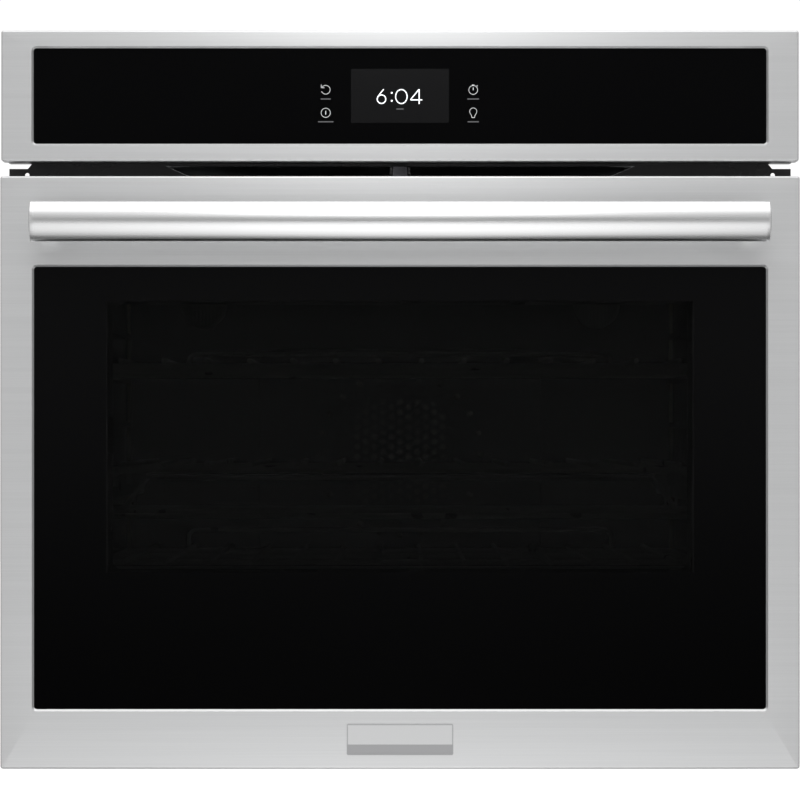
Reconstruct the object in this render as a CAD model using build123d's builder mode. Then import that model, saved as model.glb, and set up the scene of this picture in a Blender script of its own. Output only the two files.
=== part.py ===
"""A 30 inch built-in electric wall oven, modelled as it comes apart on a bench.

Frame: +X to the viewer's right, +Y towards the back of the cabinet, +Z up, millimetres.
Origin: the centre of the underside of the base pan, which rests on the cabinet shelf.
"""

import os

from build123d import *

# ---------------------------------------------------------------- driving dimensions
OVEN_WIDTH = 762.0  # door and control panel
BODY_WIDTH = 714.0  # casing, which enters the cabinet cut-out
BODY_HEIGHT = 686.0
BODY_DEPTH = 580.0  # from the cabinet's face to the rear cover
DOOR_BOTTOM, DOOR_HEIGHT = 4.0, 565.0
PANEL_GAP = 14.4  # air gap between door and control panel
PANEL_HEIGHT = 125.4
SHEET = 1.2  # thickness of most pressed sheet parts
ENAMEL = 1.5  # thickness of the enamelled sheet parts

# ---------------------------------------------------------------- planes worked out from them
HALF = OVEN_WIDTH / 2
BODY_X = BODY_WIDTH / 2
FACE_Y = -BODY_DEPTH / 2  # the plane of the cabinet's face
BACK_Y = BODY_DEPTH / 2
FRAME_Y = FACE_Y - ENAMEL  # front of the front frame
DOOR_BACK = FACE_Y - 9.0
DOOR_FRONT = DOOR_BACK - 40.0
DOOR_TOP = DOOR_BOTTOM + DOOR_HEIGHT
PANEL_FRONT = DOOR_FRONT + 6.0
PANEL_BOTTOM = DOOR_TOP + PANEL_GAP
PANEL_TOP = PANEL_BOTTOM + PANEL_HEIGHT
FRAME_TOP = 600.0  # the front frame ends behind the control panel
INNER_X = BODY_X - SHEET  # inside of the side panels
INNER_BACK = BACK_Y - SHEET

# cavity
CAVITY_X = 312.0
CAVITY_Z = (62.0, 541.0)
CAVITY_BACK = 190.0
CAVITY_R = 16.0
SHELF_Z = 572.2  # top of the shelf that carries the cooling parts

# windows
SKIN_WINDOW_X, SKIN_WINDOW_Z = 349.0, (60.7, 482.6)
PANEL_WINDOW_X, PANEL_WINDOW_Z = 350.2, (600.4, 691.8)
VIEW_X, VIEW_Z = 279.0, (192.0, 449.0)  # the clear view through the door

# hinges
HINGE_X, HINGE_Y, HINGE_Z = 336.0, -313.0, 22.0
PIN_R = 4.0
RUNNING = 0.06  # radial clearance of a shaft in its hole

# racks
LEDGE_TOPS = [88.0 + 49.5 * n for n in range(8)]
LEDGE_X = CAVITY_X - 10.0
LOW_RACK, GLIDE_BASE, HIGH_RACK = LEDGE_TOPS[2], LEDGE_TOPS[3], LEDGE_TOPS[6]
RACK_WIRES, WIRE_PITCH = 14, 42.0
RACK_FRONT, RACK_BACK = -271.0, 140.0
RAIL_X = CAVITY_X - 6.0
RAIL_R, WIRE_R = 3.5, 2.5
RACK_LIFT = 0.3  # clearance of a sliding rack above its ledges

# fans
FAN_Z = 300.0
BLOWER_Y, BLOWER_Z = -120.0, 632.0

# door latch
LATCH_Y, LATCH_Z = -244.0, 583.0

# handle
HANDLE_X = 346.5
HANDLE_BACK = -376.0
HANDLE_Z = (503.6, 540.2)
HANDLE_CAP = 4.3
HANDLE_POST_X = 335.0

os.makedirs("parts", exist_ok=True)


# ---------------------------------------------------------------- helpers
def keep(part, name):
    """Labels a finished piece and writes it to its own STEP file."""
    part.label = name
    export_step(part, f"parts/{name}.step")


def keep_lengths(part, name, cuts):
    """Keeps a piece as the lengths it is spot welded from, cut by boxes that meet each other."""
    cut = [part & Pos(*[sum(side) / 2 for side in sides]) * Box(*[side[1] - side[0] for side in sides])
           for sides in cuts]
    keep(Compound(children=[solid for length in cut for solid in length.solids()]), name)


def front(y):
    """A sketch plane at depth y that faces the front: its X is +X and its Y is +Z."""
    return Plane.XZ.offset(-y)


def span(x, y, z, mode=Mode.ADD):
    """A box given by its low and high value along each axis."""
    with Locations(((x[0] + x[1]) / 2, (y[0] + y[1]) / 2, (z[0] + z[1]) / 2)):
        Box(x[1] - x[0], y[1] - y[0], z[1] - z[0], mode=mode)


def both(x, y, z, mode=Mode.ADD):
    """The same box on the right and, mirrored, on the left."""
    span(x, y, z, mode)
    span((-x[1], -x[0]), y, z, mode)


def along_y(x, z, r, y, mode=Mode.ADD):
    """A cylinder of radius r along Y, from y[0] to y[1]."""
    with Locations(Location((x, (y[0] + y[1]) / 2, z), (90, 0, 0))):
        Cylinder(r, y[1] - y[0], mode=mode)


def along_x(y, z, r, x, mode=Mode.ADD):
    """A cylinder of radius r along X, from x[0] to x[1]."""
    with Locations(Location(((x[0] + x[1]) / 2, y, z), (0, 90, 0))):
        Cylinder(r, x[1] - x[0], mode=mode)


def plate(x, z, y, r=0.0, mode=Mode.ADD):
    """A plate facing the front, from y[1] forward to y[0], with rounded corners."""
    with BuildSketch(front(y[1])) as outline:
        with Locations(((x[0] + x[1]) / 2, (z[0] + z[1]) / 2)):
            if r:
                RectangleRounded(x[1] - x[0], z[1] - z[0], r)
            else:
                Rectangle(x[1] - x[0], z[1] - z[0])
    extrude(outline.sketch, amount=y[1] - y[0], mode=mode)


def tube(points, r, radius, close=False):
    """A round bar of radius r along straight runs joined by arcs."""
    with BuildLine() as path:
        FilletPolyline(*points, radius=radius, close=close)
    start = path.line @ 0
    with BuildSketch(Plane(origin=start, z_dir=path.line % 0)) as section:
        Circle(r)
    sweep(section.sketch, path=path.line)


def slots(plane, centre, size, count, pitch, rotation=0):
    """Cuts a grid of rounded slots straight through, from a plane."""
    with BuildSketch(plane) as openings:
        with Locations(centre):
            with GridLocations(*pitch, *count):
                SlotOverall(*size, rotation=rotation)
    extrude(openings.sketch, amount=30, both=True, mode=Mode.SUBTRACT)


# ================================================================ casing
REAR_SCREWS = [(s * (INNER_X - 6), z) for s in (-1, 1) for z in (40, 190, 340, 490, 640)]

with BuildPart() as base_pan:
    span((-INNER_X, INNER_X), (FACE_Y + 2, INNER_BACK), (0, SHEET))
    both((INNER_X - SHEET, INNER_X), (FACE_Y + 70, INNER_BACK), (SHEET, 24))
    span((-INNER_X, INNER_X), (INNER_BACK - SHEET, INNER_BACK), (SHEET, 24))
    slots(Plane.XY, (-230, 60), (70, 7), (1, 9), (1, 24))
    slots(Plane.XY, (230, 60), (70, 7), (1, 9), (1, 24))
pan_x, pan_y = (-INNER_X, INNER_X), (FACE_Y, INNER_BACK)
keep_lengths(base_pan.part, "base_pan", [(pan_x, pan_y, (0, SHEET)), (pan_x, pan_y, (SHEET, 24))])


def side_panel(side):
    """A folded side sheet with its front and rear flanges and its air slots."""
    with BuildPart() as panel:
        span((INNER_X, BODY_X), (FACE_Y, INNER_BACK), (0, BODY_HEIGHT))
        span((INNER_X - 12, INNER_X), (FACE_Y, FACE_Y + SHEET), (50, 566))
        span((INNER_X - 12, INNER_X), (INNER_BACK - SHEET, INNER_BACK), (26, BODY_HEIGHT - 4))
        for x, z in REAR_SCREWS:
            if x > 0:
                along_y(x, z, 2.2, (INNER_BACK - 5, INNER_BACK + 5), Mode.SUBTRACT)
        for z in (600, 615, 630, 645, 660):
            slots(Plane.YZ.offset(BODY_X), (60, z), (60, 5), (4, 1), (75, 1))
        slots(Plane.YZ.offset(BODY_X), (-120, 30), (60, 5), (2, 1), (75, 1))
    if side < 0:
        return mirror(panel.part, about=Plane.YZ)
    return panel.part


keep(side_panel(-1), "side_panel_left")
keep(side_panel(1), "side_panel_right")

with BuildPart() as top_cover:
    span((-INNER_X, INNER_X), (FACE_Y, INNER_BACK), (BODY_HEIGHT - SHEET, BODY_HEIGHT))
    span((-INNER_X + 14, INNER_X - 14), (FACE_Y, FACE_Y + SHEET), (664, BODY_HEIGHT - SHEET))
    slots(Plane.XY.offset(BODY_HEIGHT), (0, 150), (70, 6), (6, 5), (95, 18))
keep(top_cover.part, "top_cover")

with BuildPart() as rear_cover:
    span((-BODY_X, BODY_X), (INNER_BACK, BACK_Y), (0, BODY_HEIGHT))
    slots(front(BACK_Y), (0, 622), (60, 5), (5, 5), (78, 14))
    slots(front(BACK_Y), (0, 60), (60, 5), (7, 3), (78, 14))
    along_y(290, 630, 11, (INNER_BACK - 2, BACK_Y + 2), Mode.SUBTRACT)
    for x, z in REAR_SCREWS:
        along_y(x, z, 2.2, (INNER_BACK - 2, BACK_Y + 2), Mode.SUBTRACT)
keep(rear_cover.part, "rear_cover")

with BuildPart() as casing_screws:
    for x, z in REAR_SCREWS:
        along_y(x, z, 4.2, (BACK_Y, BACK_Y + 2.2))
        along_y(x, z, 2.0, (BACK_Y - 9, BACK_Y))
        span((x - 2.6, x + 2.6), (BACK_Y + 1.2, BACK_Y + 3), (z - 0.5, z + 0.5), Mode.SUBTRACT)
        span((x - 0.5, x + 0.5), (BACK_Y + 1.2, BACK_Y + 3), (z - 2.6, z + 2.6), Mode.SUBTRACT)
keep(casing_screws.part, "casing_screws")

# The black enamelled frame round the cavity mouth is also the mounting flange.
FLANGE_X = HALF - 2.0
MOUNT_HOLES_X, MOUNT_HOLES_Z = FLANGE_X - 10.0, (80.0, 540.0)
SWITCH_X, SWITCH_Z = -337.0, 500.0
with BuildPart() as front_frame:
    plate((-FLANGE_X, FLANGE_X), (2, 580.2), (FRAME_Y, FACE_Y))
    with BuildSketch(front(FACE_Y)):
        with BuildLine():
            Polyline((-361.2, 580), (-BODY_X, 585), (-BODY_X, FRAME_TOP), (BODY_X, FRAME_TOP), (BODY_X, 585),
                     (361.2, 580), close=True)
        make_face()
    extrude(amount=ENAMEL)
    plate((-CAVITY_X, CAVITY_X), CAVITY_Z, (FRAME_Y - 1, FACE_Y + 1), CAVITY_R, Mode.SUBTRACT)
    with BuildSketch(front(FACE_Y + 1)):
        with BuildLine():
            Polyline((-228, 583), (228, 583), (204, SHELF_Z), (-204, SHELF_Z), close=True)
        make_face()
    extrude(amount=ENAMEL + 2, mode=Mode.SUBTRACT)
    span((-11, 11), (FRAME_Y - 1, FACE_Y + 1), (564, 583), Mode.SUBTRACT)
    span((-318, 318), (FRAME_Y - 1, FACE_Y + 1), (1, 42), Mode.SUBTRACT)
    both((HINGE_X - 7, HINGE_X + 7), (FRAME_Y - 1, FACE_Y + 1), (8, 38), Mode.SUBTRACT)
    for x in (-MOUNT_HOLES_X, MOUNT_HOLES_X):
        for z in MOUNT_HOLES_Z:
            along_y(x, z, 2.75, (FRAME_Y - 1, FACE_Y + 1), Mode.SUBTRACT)
    for x in (-361.6, 361.6):  # bend reliefs
        along_y(x, 574.1, 2.2, (FRAME_Y - 1, FACE_Y + 1), Mode.SUBTRACT)
    both((BODY_X + 0.3, HALF), (FACE_Y - 0.3, FACE_Y + 1), (1, FRAME_TOP), Mode.SUBTRACT)  # seats
    along_y(SWITCH_X, SWITCH_Z, 4.5, (FRAME_Y - 1, FACE_Y + 1), Mode.SUBTRACT)
sheet_y, mouth_x = (FRAME_Y - 5, FACE_Y + 5), (-CAVITY_X, CAVITY_X)
levels = (0, CAVITY_Z[0], CAVITY_Z[1], 564, SHELF_Z, 583, FRAME_TOP)
keep_lengths(front_frame.part, "front_frame", [
    ((-HALF, -CAVITY_X), sheet_y, (0, FRAME_TOP)), ((CAVITY_X, HALF), sheet_y, (0, FRAME_TOP)),
    *((mouth_x, sheet_y, level) for level in zip(levels, levels[1:])),
])

with BuildPart() as compartment_shelf:
    span((-INNER_X, INNER_X), (FACE_Y, 250), (SHELF_Z - SHEET, SHELF_Z))
    both((INNER_X - SHEET, INNER_X), (FACE_Y + 14, 250), (SHELF_Z, SHELF_Z + 14))
    span((-11, 11), (FACE_Y - 1, -262), (SHELF_Z - 3, SHELF_Z + 3), Mode.SUBTRACT)
keep(compartment_shelf.part, "compartment_shelf")

# ================================================================ cavity
LAMPS = [(-225.0, 470.0), (225.0, 470.0)]
SENSOR = (-280.0, 500.0)
BROIL_Z, BAKE_Z = 516.0, 52.2

with BuildPart() as cavity_liner:
    outside = (CAVITY_Z[0] - ENAMEL, CAVITY_Z[1] + ENAMEL)
    x_out = CAVITY_X + ENAMEL
    plate((-x_out, x_out), outside, (FACE_Y, CAVITY_BACK + ENAMEL), CAVITY_R + ENAMEL)
    plate((-330, 330), (44, 559), (FACE_Y, FACE_Y + ENAMEL), 20)
    plate((-CAVITY_X, CAVITY_X), CAVITY_Z, (FACE_Y - 1, CAVITY_BACK), CAVITY_R, Mode.SUBTRACT)
    for top in LEDGE_TOPS:  # pressed ledges that carry the racks
        both((LEDGE_X, CAVITY_X + 0.5), (-258, 165), (top - 5, top))
    along_y(0, FAN_Z, 13, (180, 200), Mode.SUBTRACT)
    for x, z in LAMPS:
        along_y(x, z, 24, (180, 200), Mode.SUBTRACT)
    along_y(*SENSOR, 4, (180, 200), Mode.SUBTRACT)
    for x in (-30, 30):
        along_y(x, BROIL_Z, 5, (180, 200), Mode.SUBTRACT)
    for x in (-16, 16):
        along_y(x, FAN_Z + 90.6, 5, (180, 200), Mode.SUBTRACT)
keep(cavity_liner.part, "cavity_liner")

with BuildPart() as cavity_insulation:
    span((-352, 352), (-286, 246), (30, 569.5))
    span((-315, 315), (-290, 193), (46, 544.5), Mode.SUBTRACT)
    both((320, 356), (-290, -215), (20, 52), Mode.SUBTRACT)  # room for the hinge receivers
    span((-356, -326), (-290, -240), (SWITCH_Z - 24, SWITCH_Z + 24), Mode.SUBTRACT)
    along_y(0, FAN_Z, 16, (190, 250), Mode.SUBTRACT)
    for x, z in LAMPS:
        along_y(x, z, 32, (190, 250), Mode.SUBTRACT)
    along_y(*SENSOR, 12, (190, 250), Mode.SUBTRACT)
    span((-42, 42), (190, 250), (BROIL_Z - 10, BROIL_Z + 10), Mode.SUBTRACT)
    span((-26, 26), (190, 250), (FAN_Z + 82, FAN_Z + 100), Mode.SUBTRACT)
    span((-40, 40), (190, 250), (BAKE_Z - 8, BAKE_Z + 8), Mode.SUBTRACT)
keep(cavity_insulation.part, "cavity_insulation")


def half_path(points, z):
    """Mirrors a list of X, Y points about X = 0 into one open path at height z."""
    right = [(-x, y) for x, y in reversed(points)]
    return [(x, y, z) for x, y in points + right]


with BuildPart() as bake_element:
    runs = [(-25, 230), (-25, 150), (-265, 150), (-265, -235), (-95, -235), (-95, 55)]
    tube(half_path(runs, BAKE_Z), 3.4, radius=32)
    for x in (-25, 25):
        span((x - 3, x + 3), (228, 244), (BAKE_Z - 0.4, BAKE_Z + 0.4))
    for x, y in ((-265, -40), (265, -40), (-95, -90), (95, -90)):  # clips under the floor
        span((x - 6, x + 6), (y - 0.8, y + 0.8), (BAKE_Z, CAVITY_Z[0] - ENAMEL))
keep(bake_element.part, "bake_element")

with BuildPart() as broil_element:
    runs = [(-30, 230), (-30, 115), (-245, 115), (-245, -205), (-165, -205), (-165, 55)]
    runs += [(-85, 55), (-85, -205)]
    tube(half_path(runs, BROIL_Z), 3.4, radius=28)
    for x in (-30, 30):
        span((x - 3, x + 3), (228, 244), (BROIL_Z - 0.4, BROIL_Z + 0.4))
    plate((-42, 42), (BROIL_Z - 9, BROIL_Z + 9), (CAVITY_BACK - SHEET, CAVITY_BACK), 4)
    for x, y in ((-245, -40), (245, -40), (0, -205)):  # hangers under the cavity's roof
        span((x - 6, x + 6), (y - 0.8, y + 0.8), (BROIL_Z, CAVITY_Z[1] - 1))
        span((x - 6, x + 6), (y - 8, y + 8), (CAVITY_Z[1] - 1, CAVITY_Z[1]))
keep(broil_element.part, "broil_element")

with BuildPart() as convection_element:
    with Locations(Location((0, 172, FAN_Z), (90, 0, 0))):
        Torus(92, 3.2)
    for x in (-16, 16):
        along_y(x, FAN_Z + 90.6, 3.2, (172, 236))
    plate((-27, 27), (FAN_Z + 82, FAN_Z + 99), (CAVITY_BACK - SHEET, CAVITY_BACK), 4)
keep(convection_element.part, "convection_element")

COVER_X, COVER_Z = 160.0, (180.0, 420.0)
with BuildPart() as fan_cover:
    plate((-COVER_X, COVER_X), COVER_Z, (150, CAVITY_BACK), 24)
    front_rim = fan_cover.faces().sort_by(Axis.Y)[0].edges()
    fillet(front_rim, 2.4)
    inside_z = (COVER_Z[0] + SHEET, COVER_Z[1] - SHEET)
    inside_x = (SHEET - COVER_X, COVER_X - SHEET)
    plate(inside_x, inside_z, (150 + SHEET, CAVITY_BACK + 1), 23, Mode.SUBTRACT)
    with BuildSketch(front(200)):
        with Locations((0, FAN_Z)):
            with HexLocations(5.6, 11, 11):
                Circle(3.4)
            with PolarLocations(96, 24):
                SlotOverall(26, 5)
    extrude(amount=60, mode=Mode.SUBTRACT)
keep(fan_cover.part, "fan_cover")

with BuildPart() as fan_motor:
    along_y(0, FAN_Z, 12, (CAVITY_BACK + ENAMEL, 248))
    along_y(0, FAN_Z, 15.5, (CAVITY_BACK + ENAMEL, 193))
    plate((-75, 75), (FAN_Z - 60, FAN_Z + 60), (247, 248.5), 6)
    along_y(0, FAN_Z, 38, (248.5, 278))
    along_y(0, FAN_Z, 14, (278, 284))
    along_y(0, FAN_Z, 4 + RUNNING, (190, 262), Mode.SUBTRACT)
    for x in (-60, 60):
        for z in (-46, 46):
            along_y(x, FAN_Z + z, 2.2, (246, 250), Mode.SUBTRACT)
keep(fan_motor.part, "fan_motor")

with BuildPart() as convection_fan:
    along_y(0, FAN_Z, 4, (158, 260))
    along_y(0, FAN_Z, 13, (160, 183))
    along_y(0, FAN_Z, 70, (181.5, 182.7))
    with Locations(Location((0, 171, FAN_Z), (90, 0, 0))):
        with PolarLocations(40, 10):
            with Locations(Location((0, 0, 0), (0, 0, 22))):
                Box(54, 1.2, 22)
keep(convection_fan.part, "convection_fan")

with BuildPart() as lamp_lenses:
    for x, z in LAMPS:
        along_y(x, z, 27, (183, CAVITY_BACK))
    fillet(lamp_lenses.faces().group_by(Axis.Y)[0].edges(), 5)
    for x, z in LAMPS:
        along_y(x, z, 22, (186, CAVITY_BACK + 1), Mode.SUBTRACT)
keep(lamp_lenses.part, "lamp_lenses")

with BuildPart() as lamp_holders:
    for x, z in LAMPS:
        along_y(x, z, 30, (191.5, 193))
        along_y(x, z, 23, (CAVITY_BACK, 240))
        along_y(x, z, 21.5, (CAVITY_BACK - 1, 232), Mode.SUBTRACT)
        along_y(x, z, 9, (224, 250))
keep(lamp_holders.part, "lamp_holders")

with BuildPart() as lamp_bulbs:
    for x, z in LAMPS:
        along_y(x, z, 6, (199, 218))
        with Locations((x, 199, z)):
            Sphere(6)
        span((x - 6, x + 6), (218, 224), (z - 2, z + 2))
keep(lamp_bulbs.part, "lamp_bulbs")

with BuildPart() as temperature_sensor:
    x, z = SENSOR
    along_y(x, z, 3, (60, 215))
    with Locations((x, 60, z)):
        Sphere(3)
    plate((x - 20, x + 20), (z - 8, z + 8), (CAVITY_BACK - SHEET, CAVITY_BACK), 4)
keep(temperature_sensor.part, "temperature_sensor")

GASKET_R = 3.5
with BuildPart() as door_gasket:
    y = FRAME_Y - GASKET_R
    loop = [(322, y, 52), (322, y, 551), (-322, y, 551), (-322, y, 52)]
    tube(loop, GASKET_R, radius=22, close=True)
keep(door_gasket.part, "door_gasket")


# ================================================================ racks
WIRE_X = [(n - (RACK_WIRES - 1) / 2) * WIRE_PITCH for n in range(RACK_WIRES)]


def one(shape, *sizes):
    """A single solid made by one of the helpers, for a welded group of wires."""
    with BuildPart() as piece:
        shape(*sizes)
    return piece.part


def welded(pieces):
    """Wires that touch at their welds, kept as one group of solids."""
    return Compound(children=pieces)


def flat_rack(ledge):
    """A plain oven rack: a rail all round, wires across it and a raised stop at the back."""
    rail = ledge + RAIL_R + RACK_LIFT
    deck = rail + RAIL_R + WIRE_R
    corners = [(RAIL_X, RACK_FRONT), (RAIL_X, RACK_BACK), (-RAIL_X, RACK_BACK), (-RAIL_X, RACK_FRONT)]
    pieces = [one(tube, [(x, y, rail) for x, y in corners], RAIL_R, 18, True)]
    pieces += [one(along_y, x, deck, WIRE_R, (RACK_FRONT - 1, RACK_BACK + 1)) for x in WIRE_X]
    inside = RAIL_X - RAIL_R
    pieces += [one(along_x, y, deck - WIRE_R - 3, 3, (-inside, inside)) for y in (-135, 0)]
    stop = [(-238, RACK_BACK, rail + RAIL_R), (-238, RACK_BACK, deck + 18)]
    stop += [(238, RACK_BACK, deck + 18), (238, RACK_BACK, rail + RAIL_R)]
    pieces.append(one(tube, stop, WIRE_R, 9))
    return welded(pieces)


keep(flat_rack(LOW_RACK), "bottom_rack")
keep(flat_rack(HIGH_RACK), "top_rack")

# The middle rack runs on two slides above a fixed wire frame.
SLIDE_IN, SLIDE_OUT, SLIDE_Z = 289.0, 298.0, (256.0, 284.0)


def slide_channel(side, x, y, z, wall, lips):
    """One channel of a slide: a web with two lips, open towards the middle or the side."""
    with BuildPart() as channel:
        span(x, y, z)
        span(lips, (y[0] - 1, y[1] + 1), (z[0] + wall, z[1] - wall), Mode.SUBTRACT)
    return channel.part if side > 0 else mirror(channel.part, about=Plane.YZ)


rail = GLIDE_BASE + RAIL_R
pieces = []
for s in (-1, 1):
    lips = (SLIDE_IN - 1, SLIDE_OUT - 1.5)
    pieces.append(slide_channel(s, (SLIDE_IN, SLIDE_OUT), (-255, 140), SLIDE_Z, 1.5, lips))
    pieces.append(one(along_y, s * RAIL_X, rail, RAIL_R, (-255, 150)))
    for y in (-180, 0, 120):
        x = (SLIDE_OUT - 1.5, SLIDE_OUT) if s > 0 else (-SLIDE_OUT, 1.5 - SLIDE_OUT)
        pieces.append(one(span, x, (y - 8, y + 8), (rail + 3, SLIDE_Z[0])))
inside = RAIL_X - RAIL_R
pieces += [one(along_x, y, rail, 3, (-inside, inside)) for y in (-180, 0, 120)]
keep(welded(pieces), "glide_frame")

HOOP_Z = 287.6
DECK_HOOP = [(270, RACK_FRONT), (285, RACK_FRONT + 15), (285, 132), (-285, 132)]
DECK_HOOP += [(-285, RACK_FRONT + 15), (-270, RACK_FRONT)]
PULL = [(246, 280), (270, 250), (286, 250), (286, 280), (272, HOOP_Z)]
PULL += [(-x, z) for x, z in reversed(PULL)]
with BuildPart() as hoop:
    tube([(x, y, HOOP_Z) for x, y in DECK_HOOP], 3.0, 8, True)
    tube([(x, RACK_FRONT, z) for x, z in PULL], WIRE_R, 5, True)
    for s in (-1, 1):  # ties from the pull to the slides
        along_y(s * 285.5, 266, WIRE_R, (RACK_FRONT, -250))
pieces = [hoop.part]
pieces += [one(along_y, x, HOOP_Z + 3 + WIRE_R, WIRE_R, (RACK_FRONT - 1, 133)) for x in WIRE_X]
pieces += [one(along_x, y, HOOP_Z, 3, (-282, 282)) for y in (-135, 0)]
for s in (-1, 1):
    lips = (291, SLIDE_OUT - 1)
    x = (288, SLIDE_OUT - 2.1)
    pieces.append(slide_channel(s, x, (-258, 136), (SLIDE_Z[0] + 2.2, SLIDE_Z[1] - 2.2), 3.8, lips))
    for y in (-200, -60, 100):
        x = (282, 288) if s > 0 else (-288, -282)
        pieces.append(one(span, x, (y - 6, y + 6), (270, HOOP_Z - 3)))
keep(welded(pieces), "glide_rack")

# ================================================================ cooling air
with BuildPart() as blower_housing:
    for x in (-186, 184.5):
        span((x, x + 1.5), (-168, -74), (SHELF_Z, 678))
    with BuildSketch(Plane.YZ.offset(-186)):
        with BuildLine():
            outer = CenterArc((BLOWER_Y, BLOWER_Z), 40, -110, 190)
            inner = CenterArc((BLOWER_Y, BLOWER_Z), 38.5, -110, 190)
            Line(outer @ 0, inner @ 0)
            Line(outer @ 1, inner @ 1)
        make_face()
    extrude(amount=372)
    both((150, 184.5), (-168, -74), (SHELF_Z, SHELF_Z + SHEET))
    along_x(BLOWER_Y, BLOWER_Z, 3 + RUNNING, (-190, 190), Mode.SUBTRACT)
keep(blower_housing.part, "blower_housing")

with BuildPart() as blower_wheel:
    along_x(BLOWER_Y, BLOWER_Z, 3, (-192, 226))
    for x in (-178, -89, 0, 89, 176):
        along_x(BLOWER_Y, BLOWER_Z, 28, (x, x + 2))
    with Locations(Location((0, BLOWER_Y, BLOWER_Z), (0, 90, 0))):
        with PolarLocations(23, 22):
            with Locations(Location((0, 0, 0), (0, 0, 35))):
                Box(8, 0.9, 352)
keep(blower_wheel.part, "blower_wheel")

with BuildPart() as blower_motor:
    along_x(BLOWER_Y, BLOWER_Z, 28, (200, 238))
    along_x(BLOWER_Y, BLOWER_Z, 10, (193, 246))
    span((200, 202), (BLOWER_Y - 30, BLOWER_Y + 30), (SHELF_Z, BLOWER_Z))
    span((202, 236), (BLOWER_Y - 30, BLOWER_Y + 30), (SHELF_Z, SHELF_Z + 2))
    along_x(BLOWER_Y, BLOWER_Z, 3 + RUNNING, (190, 228), Mode.SUBTRACT)
keep(blower_motor.part, "blower_motor")

DUCT_X = 228.0
DUCT_FLOOR = [(FACE_Y + 1, SHELF_Z), (-206, SHELF_Z), (-170, 594)]
PLENUM_TOP = 614.0
DUCT_ROOF = [(-170, 654), (-215, PLENUM_TOP), (-262, PLENUM_TOP), (-262, 587), (FACE_Y + 1, 583.5)]
with BuildPart() as air_duct:
    with BuildSketch(Plane.YZ.offset(-DUCT_X)):
        with BuildLine():
            Polyline(*DUCT_FLOOR, *DUCT_ROOF, close=True)
        make_face()
    extrude(amount=2 * DUCT_X)
    with BuildSketch(Plane.YZ.offset(-DUCT_X + SHEET)):
        with BuildLine():
            floor = [(y, z + SHEET) for y, z in DUCT_FLOOR]
            roof = [(-170, 652.4), (-215.4, PLENUM_TOP - SHEET), (-262 + SHEET, PLENUM_TOP - SHEET)]
            roof += [(-262 + SHEET, 587 - SHEET), (FACE_Y + 1, 583.5 - SHEET)]
            ahead, behind = (FACE_Y - 4, SHELF_Z + SHEET), (-160, 594 + SHEET)
            Polyline(ahead, *floor, behind, (-160, 660), *roof, (FACE_Y - 4, 582.3), close=True)
        make_face()
    extrude(amount=2 * (DUCT_X - SHEET), mode=Mode.SUBTRACT)
    span((-11, 11), (FACE_Y - 1, -262), (SHELF_Z - 1, SHELF_Z + 3), Mode.SUBTRACT)
    span((-11, 11), (-256, -232), (PLENUM_TOP - 3, PLENUM_TOP + 1), Mode.SUBTRACT)
    for s in (-1, 1):  # sloping deflectors at the two ends of the mouth
        with BuildSketch(front(-262)):
            with BuildLine():
                Polyline((s * 227.8, 582.8), (s * 226.2, 582.8), (s * 201.9, 572.4), (s * 203.5, 572.4),
                         close=True)
            make_face()
        extrude(amount=27)
wall, foot, tall = DUCT_X - SHEET, 201.9, (560, 660)
keep_lengths(air_duct.part, "air_duct", [
    ((-DUCT_X, -wall), (-300, -160), tall), ((wall, DUCT_X), (-300, -160), tall),
    *((x, (-300, -262), tall) for x in ((-wall, -foot), (-foot, foot), (foot, wall))),
    ((-wall, wall), (-262, -215), (560, PLENUM_TOP - SHEET)),
    ((-wall, wall), (-262, -215), (PLENUM_TOP - SHEET, 660)),
    ((-wall, wall), (-215, -206), tall), ((-wall, wall), (-206, -160), tall),
])

# ================================================================ latch and door switch
with BuildPart() as lock_motor:
    span((-34, 34), (-260, -218), (PLENUM_TOP, PLENUM_TOP + 2))
    for x in (-10, 8):
        span((x, x + 2), (-250, -238), (579, PLENUM_TOP))
    along_x(LATCH_Y, LATCH_Z, 2, (-10, 10))
    with Locations((0, -239, PLENUM_TOP + 20)):
        Cylinder(20, 36)
    span((-8, 8), (-252, -236), (PLENUM_TOP + 38, PLENUM_TOP + 46))
keep(lock_motor.part, "lock_motor")

HOOK = [(-240, 588), (-240, 580), (-268, 577), (-307.5, 576.8), (-307.5, 571), (-312, 571)]
HOOK += [(-312, 580.4), (-270, 581), (-250, 587), (-248, 606), (-241, 606)]
with BuildPart() as latch_hook:
    with BuildSketch(Plane.YZ.offset(-7)):
        with BuildLine():
            Polyline(*HOOK, close=True)
        make_face()
    extrude(amount=14)
    along_x(LATCH_Y, LATCH_Z, 2 + RUNNING, (-9, 9), Mode.SUBTRACT)
keep(latch_hook.part, "latch_hook")

with BuildPart() as door_switch:
    span((SWITCH_X - 6, SWITCH_X + 6), (FACE_Y, -262), (SWITCH_Z - 14, SWITCH_Z + 14))
    along_y(SWITCH_X, SWITCH_Z, 4 + RUNNING, (FACE_Y - 1, -266), Mode.SUBTRACT)
    for z in (-8, 8):
        span((SWITCH_X - 3, SWITCH_X + 3), (-262, -254), (SWITCH_Z + z - 0.4, SWITCH_Z + z + 0.4))
keep(door_switch.part, "door_switch")

with BuildPart() as switch_plunger:
    along_y(SWITCH_X, SWITCH_Z, 4, (DOOR_BACK + 0.4, -268))
    fillet(switch_plunger.faces().sort_by(Axis.Y)[0].edges(), 1.5)
keep(switch_plunger.part, "switch_plunger")


# ================================================================ hinges
def on_both_sides(part):
    """A piece on the right and its mirror image on the left, as one group of two solids."""
    return Compound(children=[part, mirror(part, about=Plane.YZ)])


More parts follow.
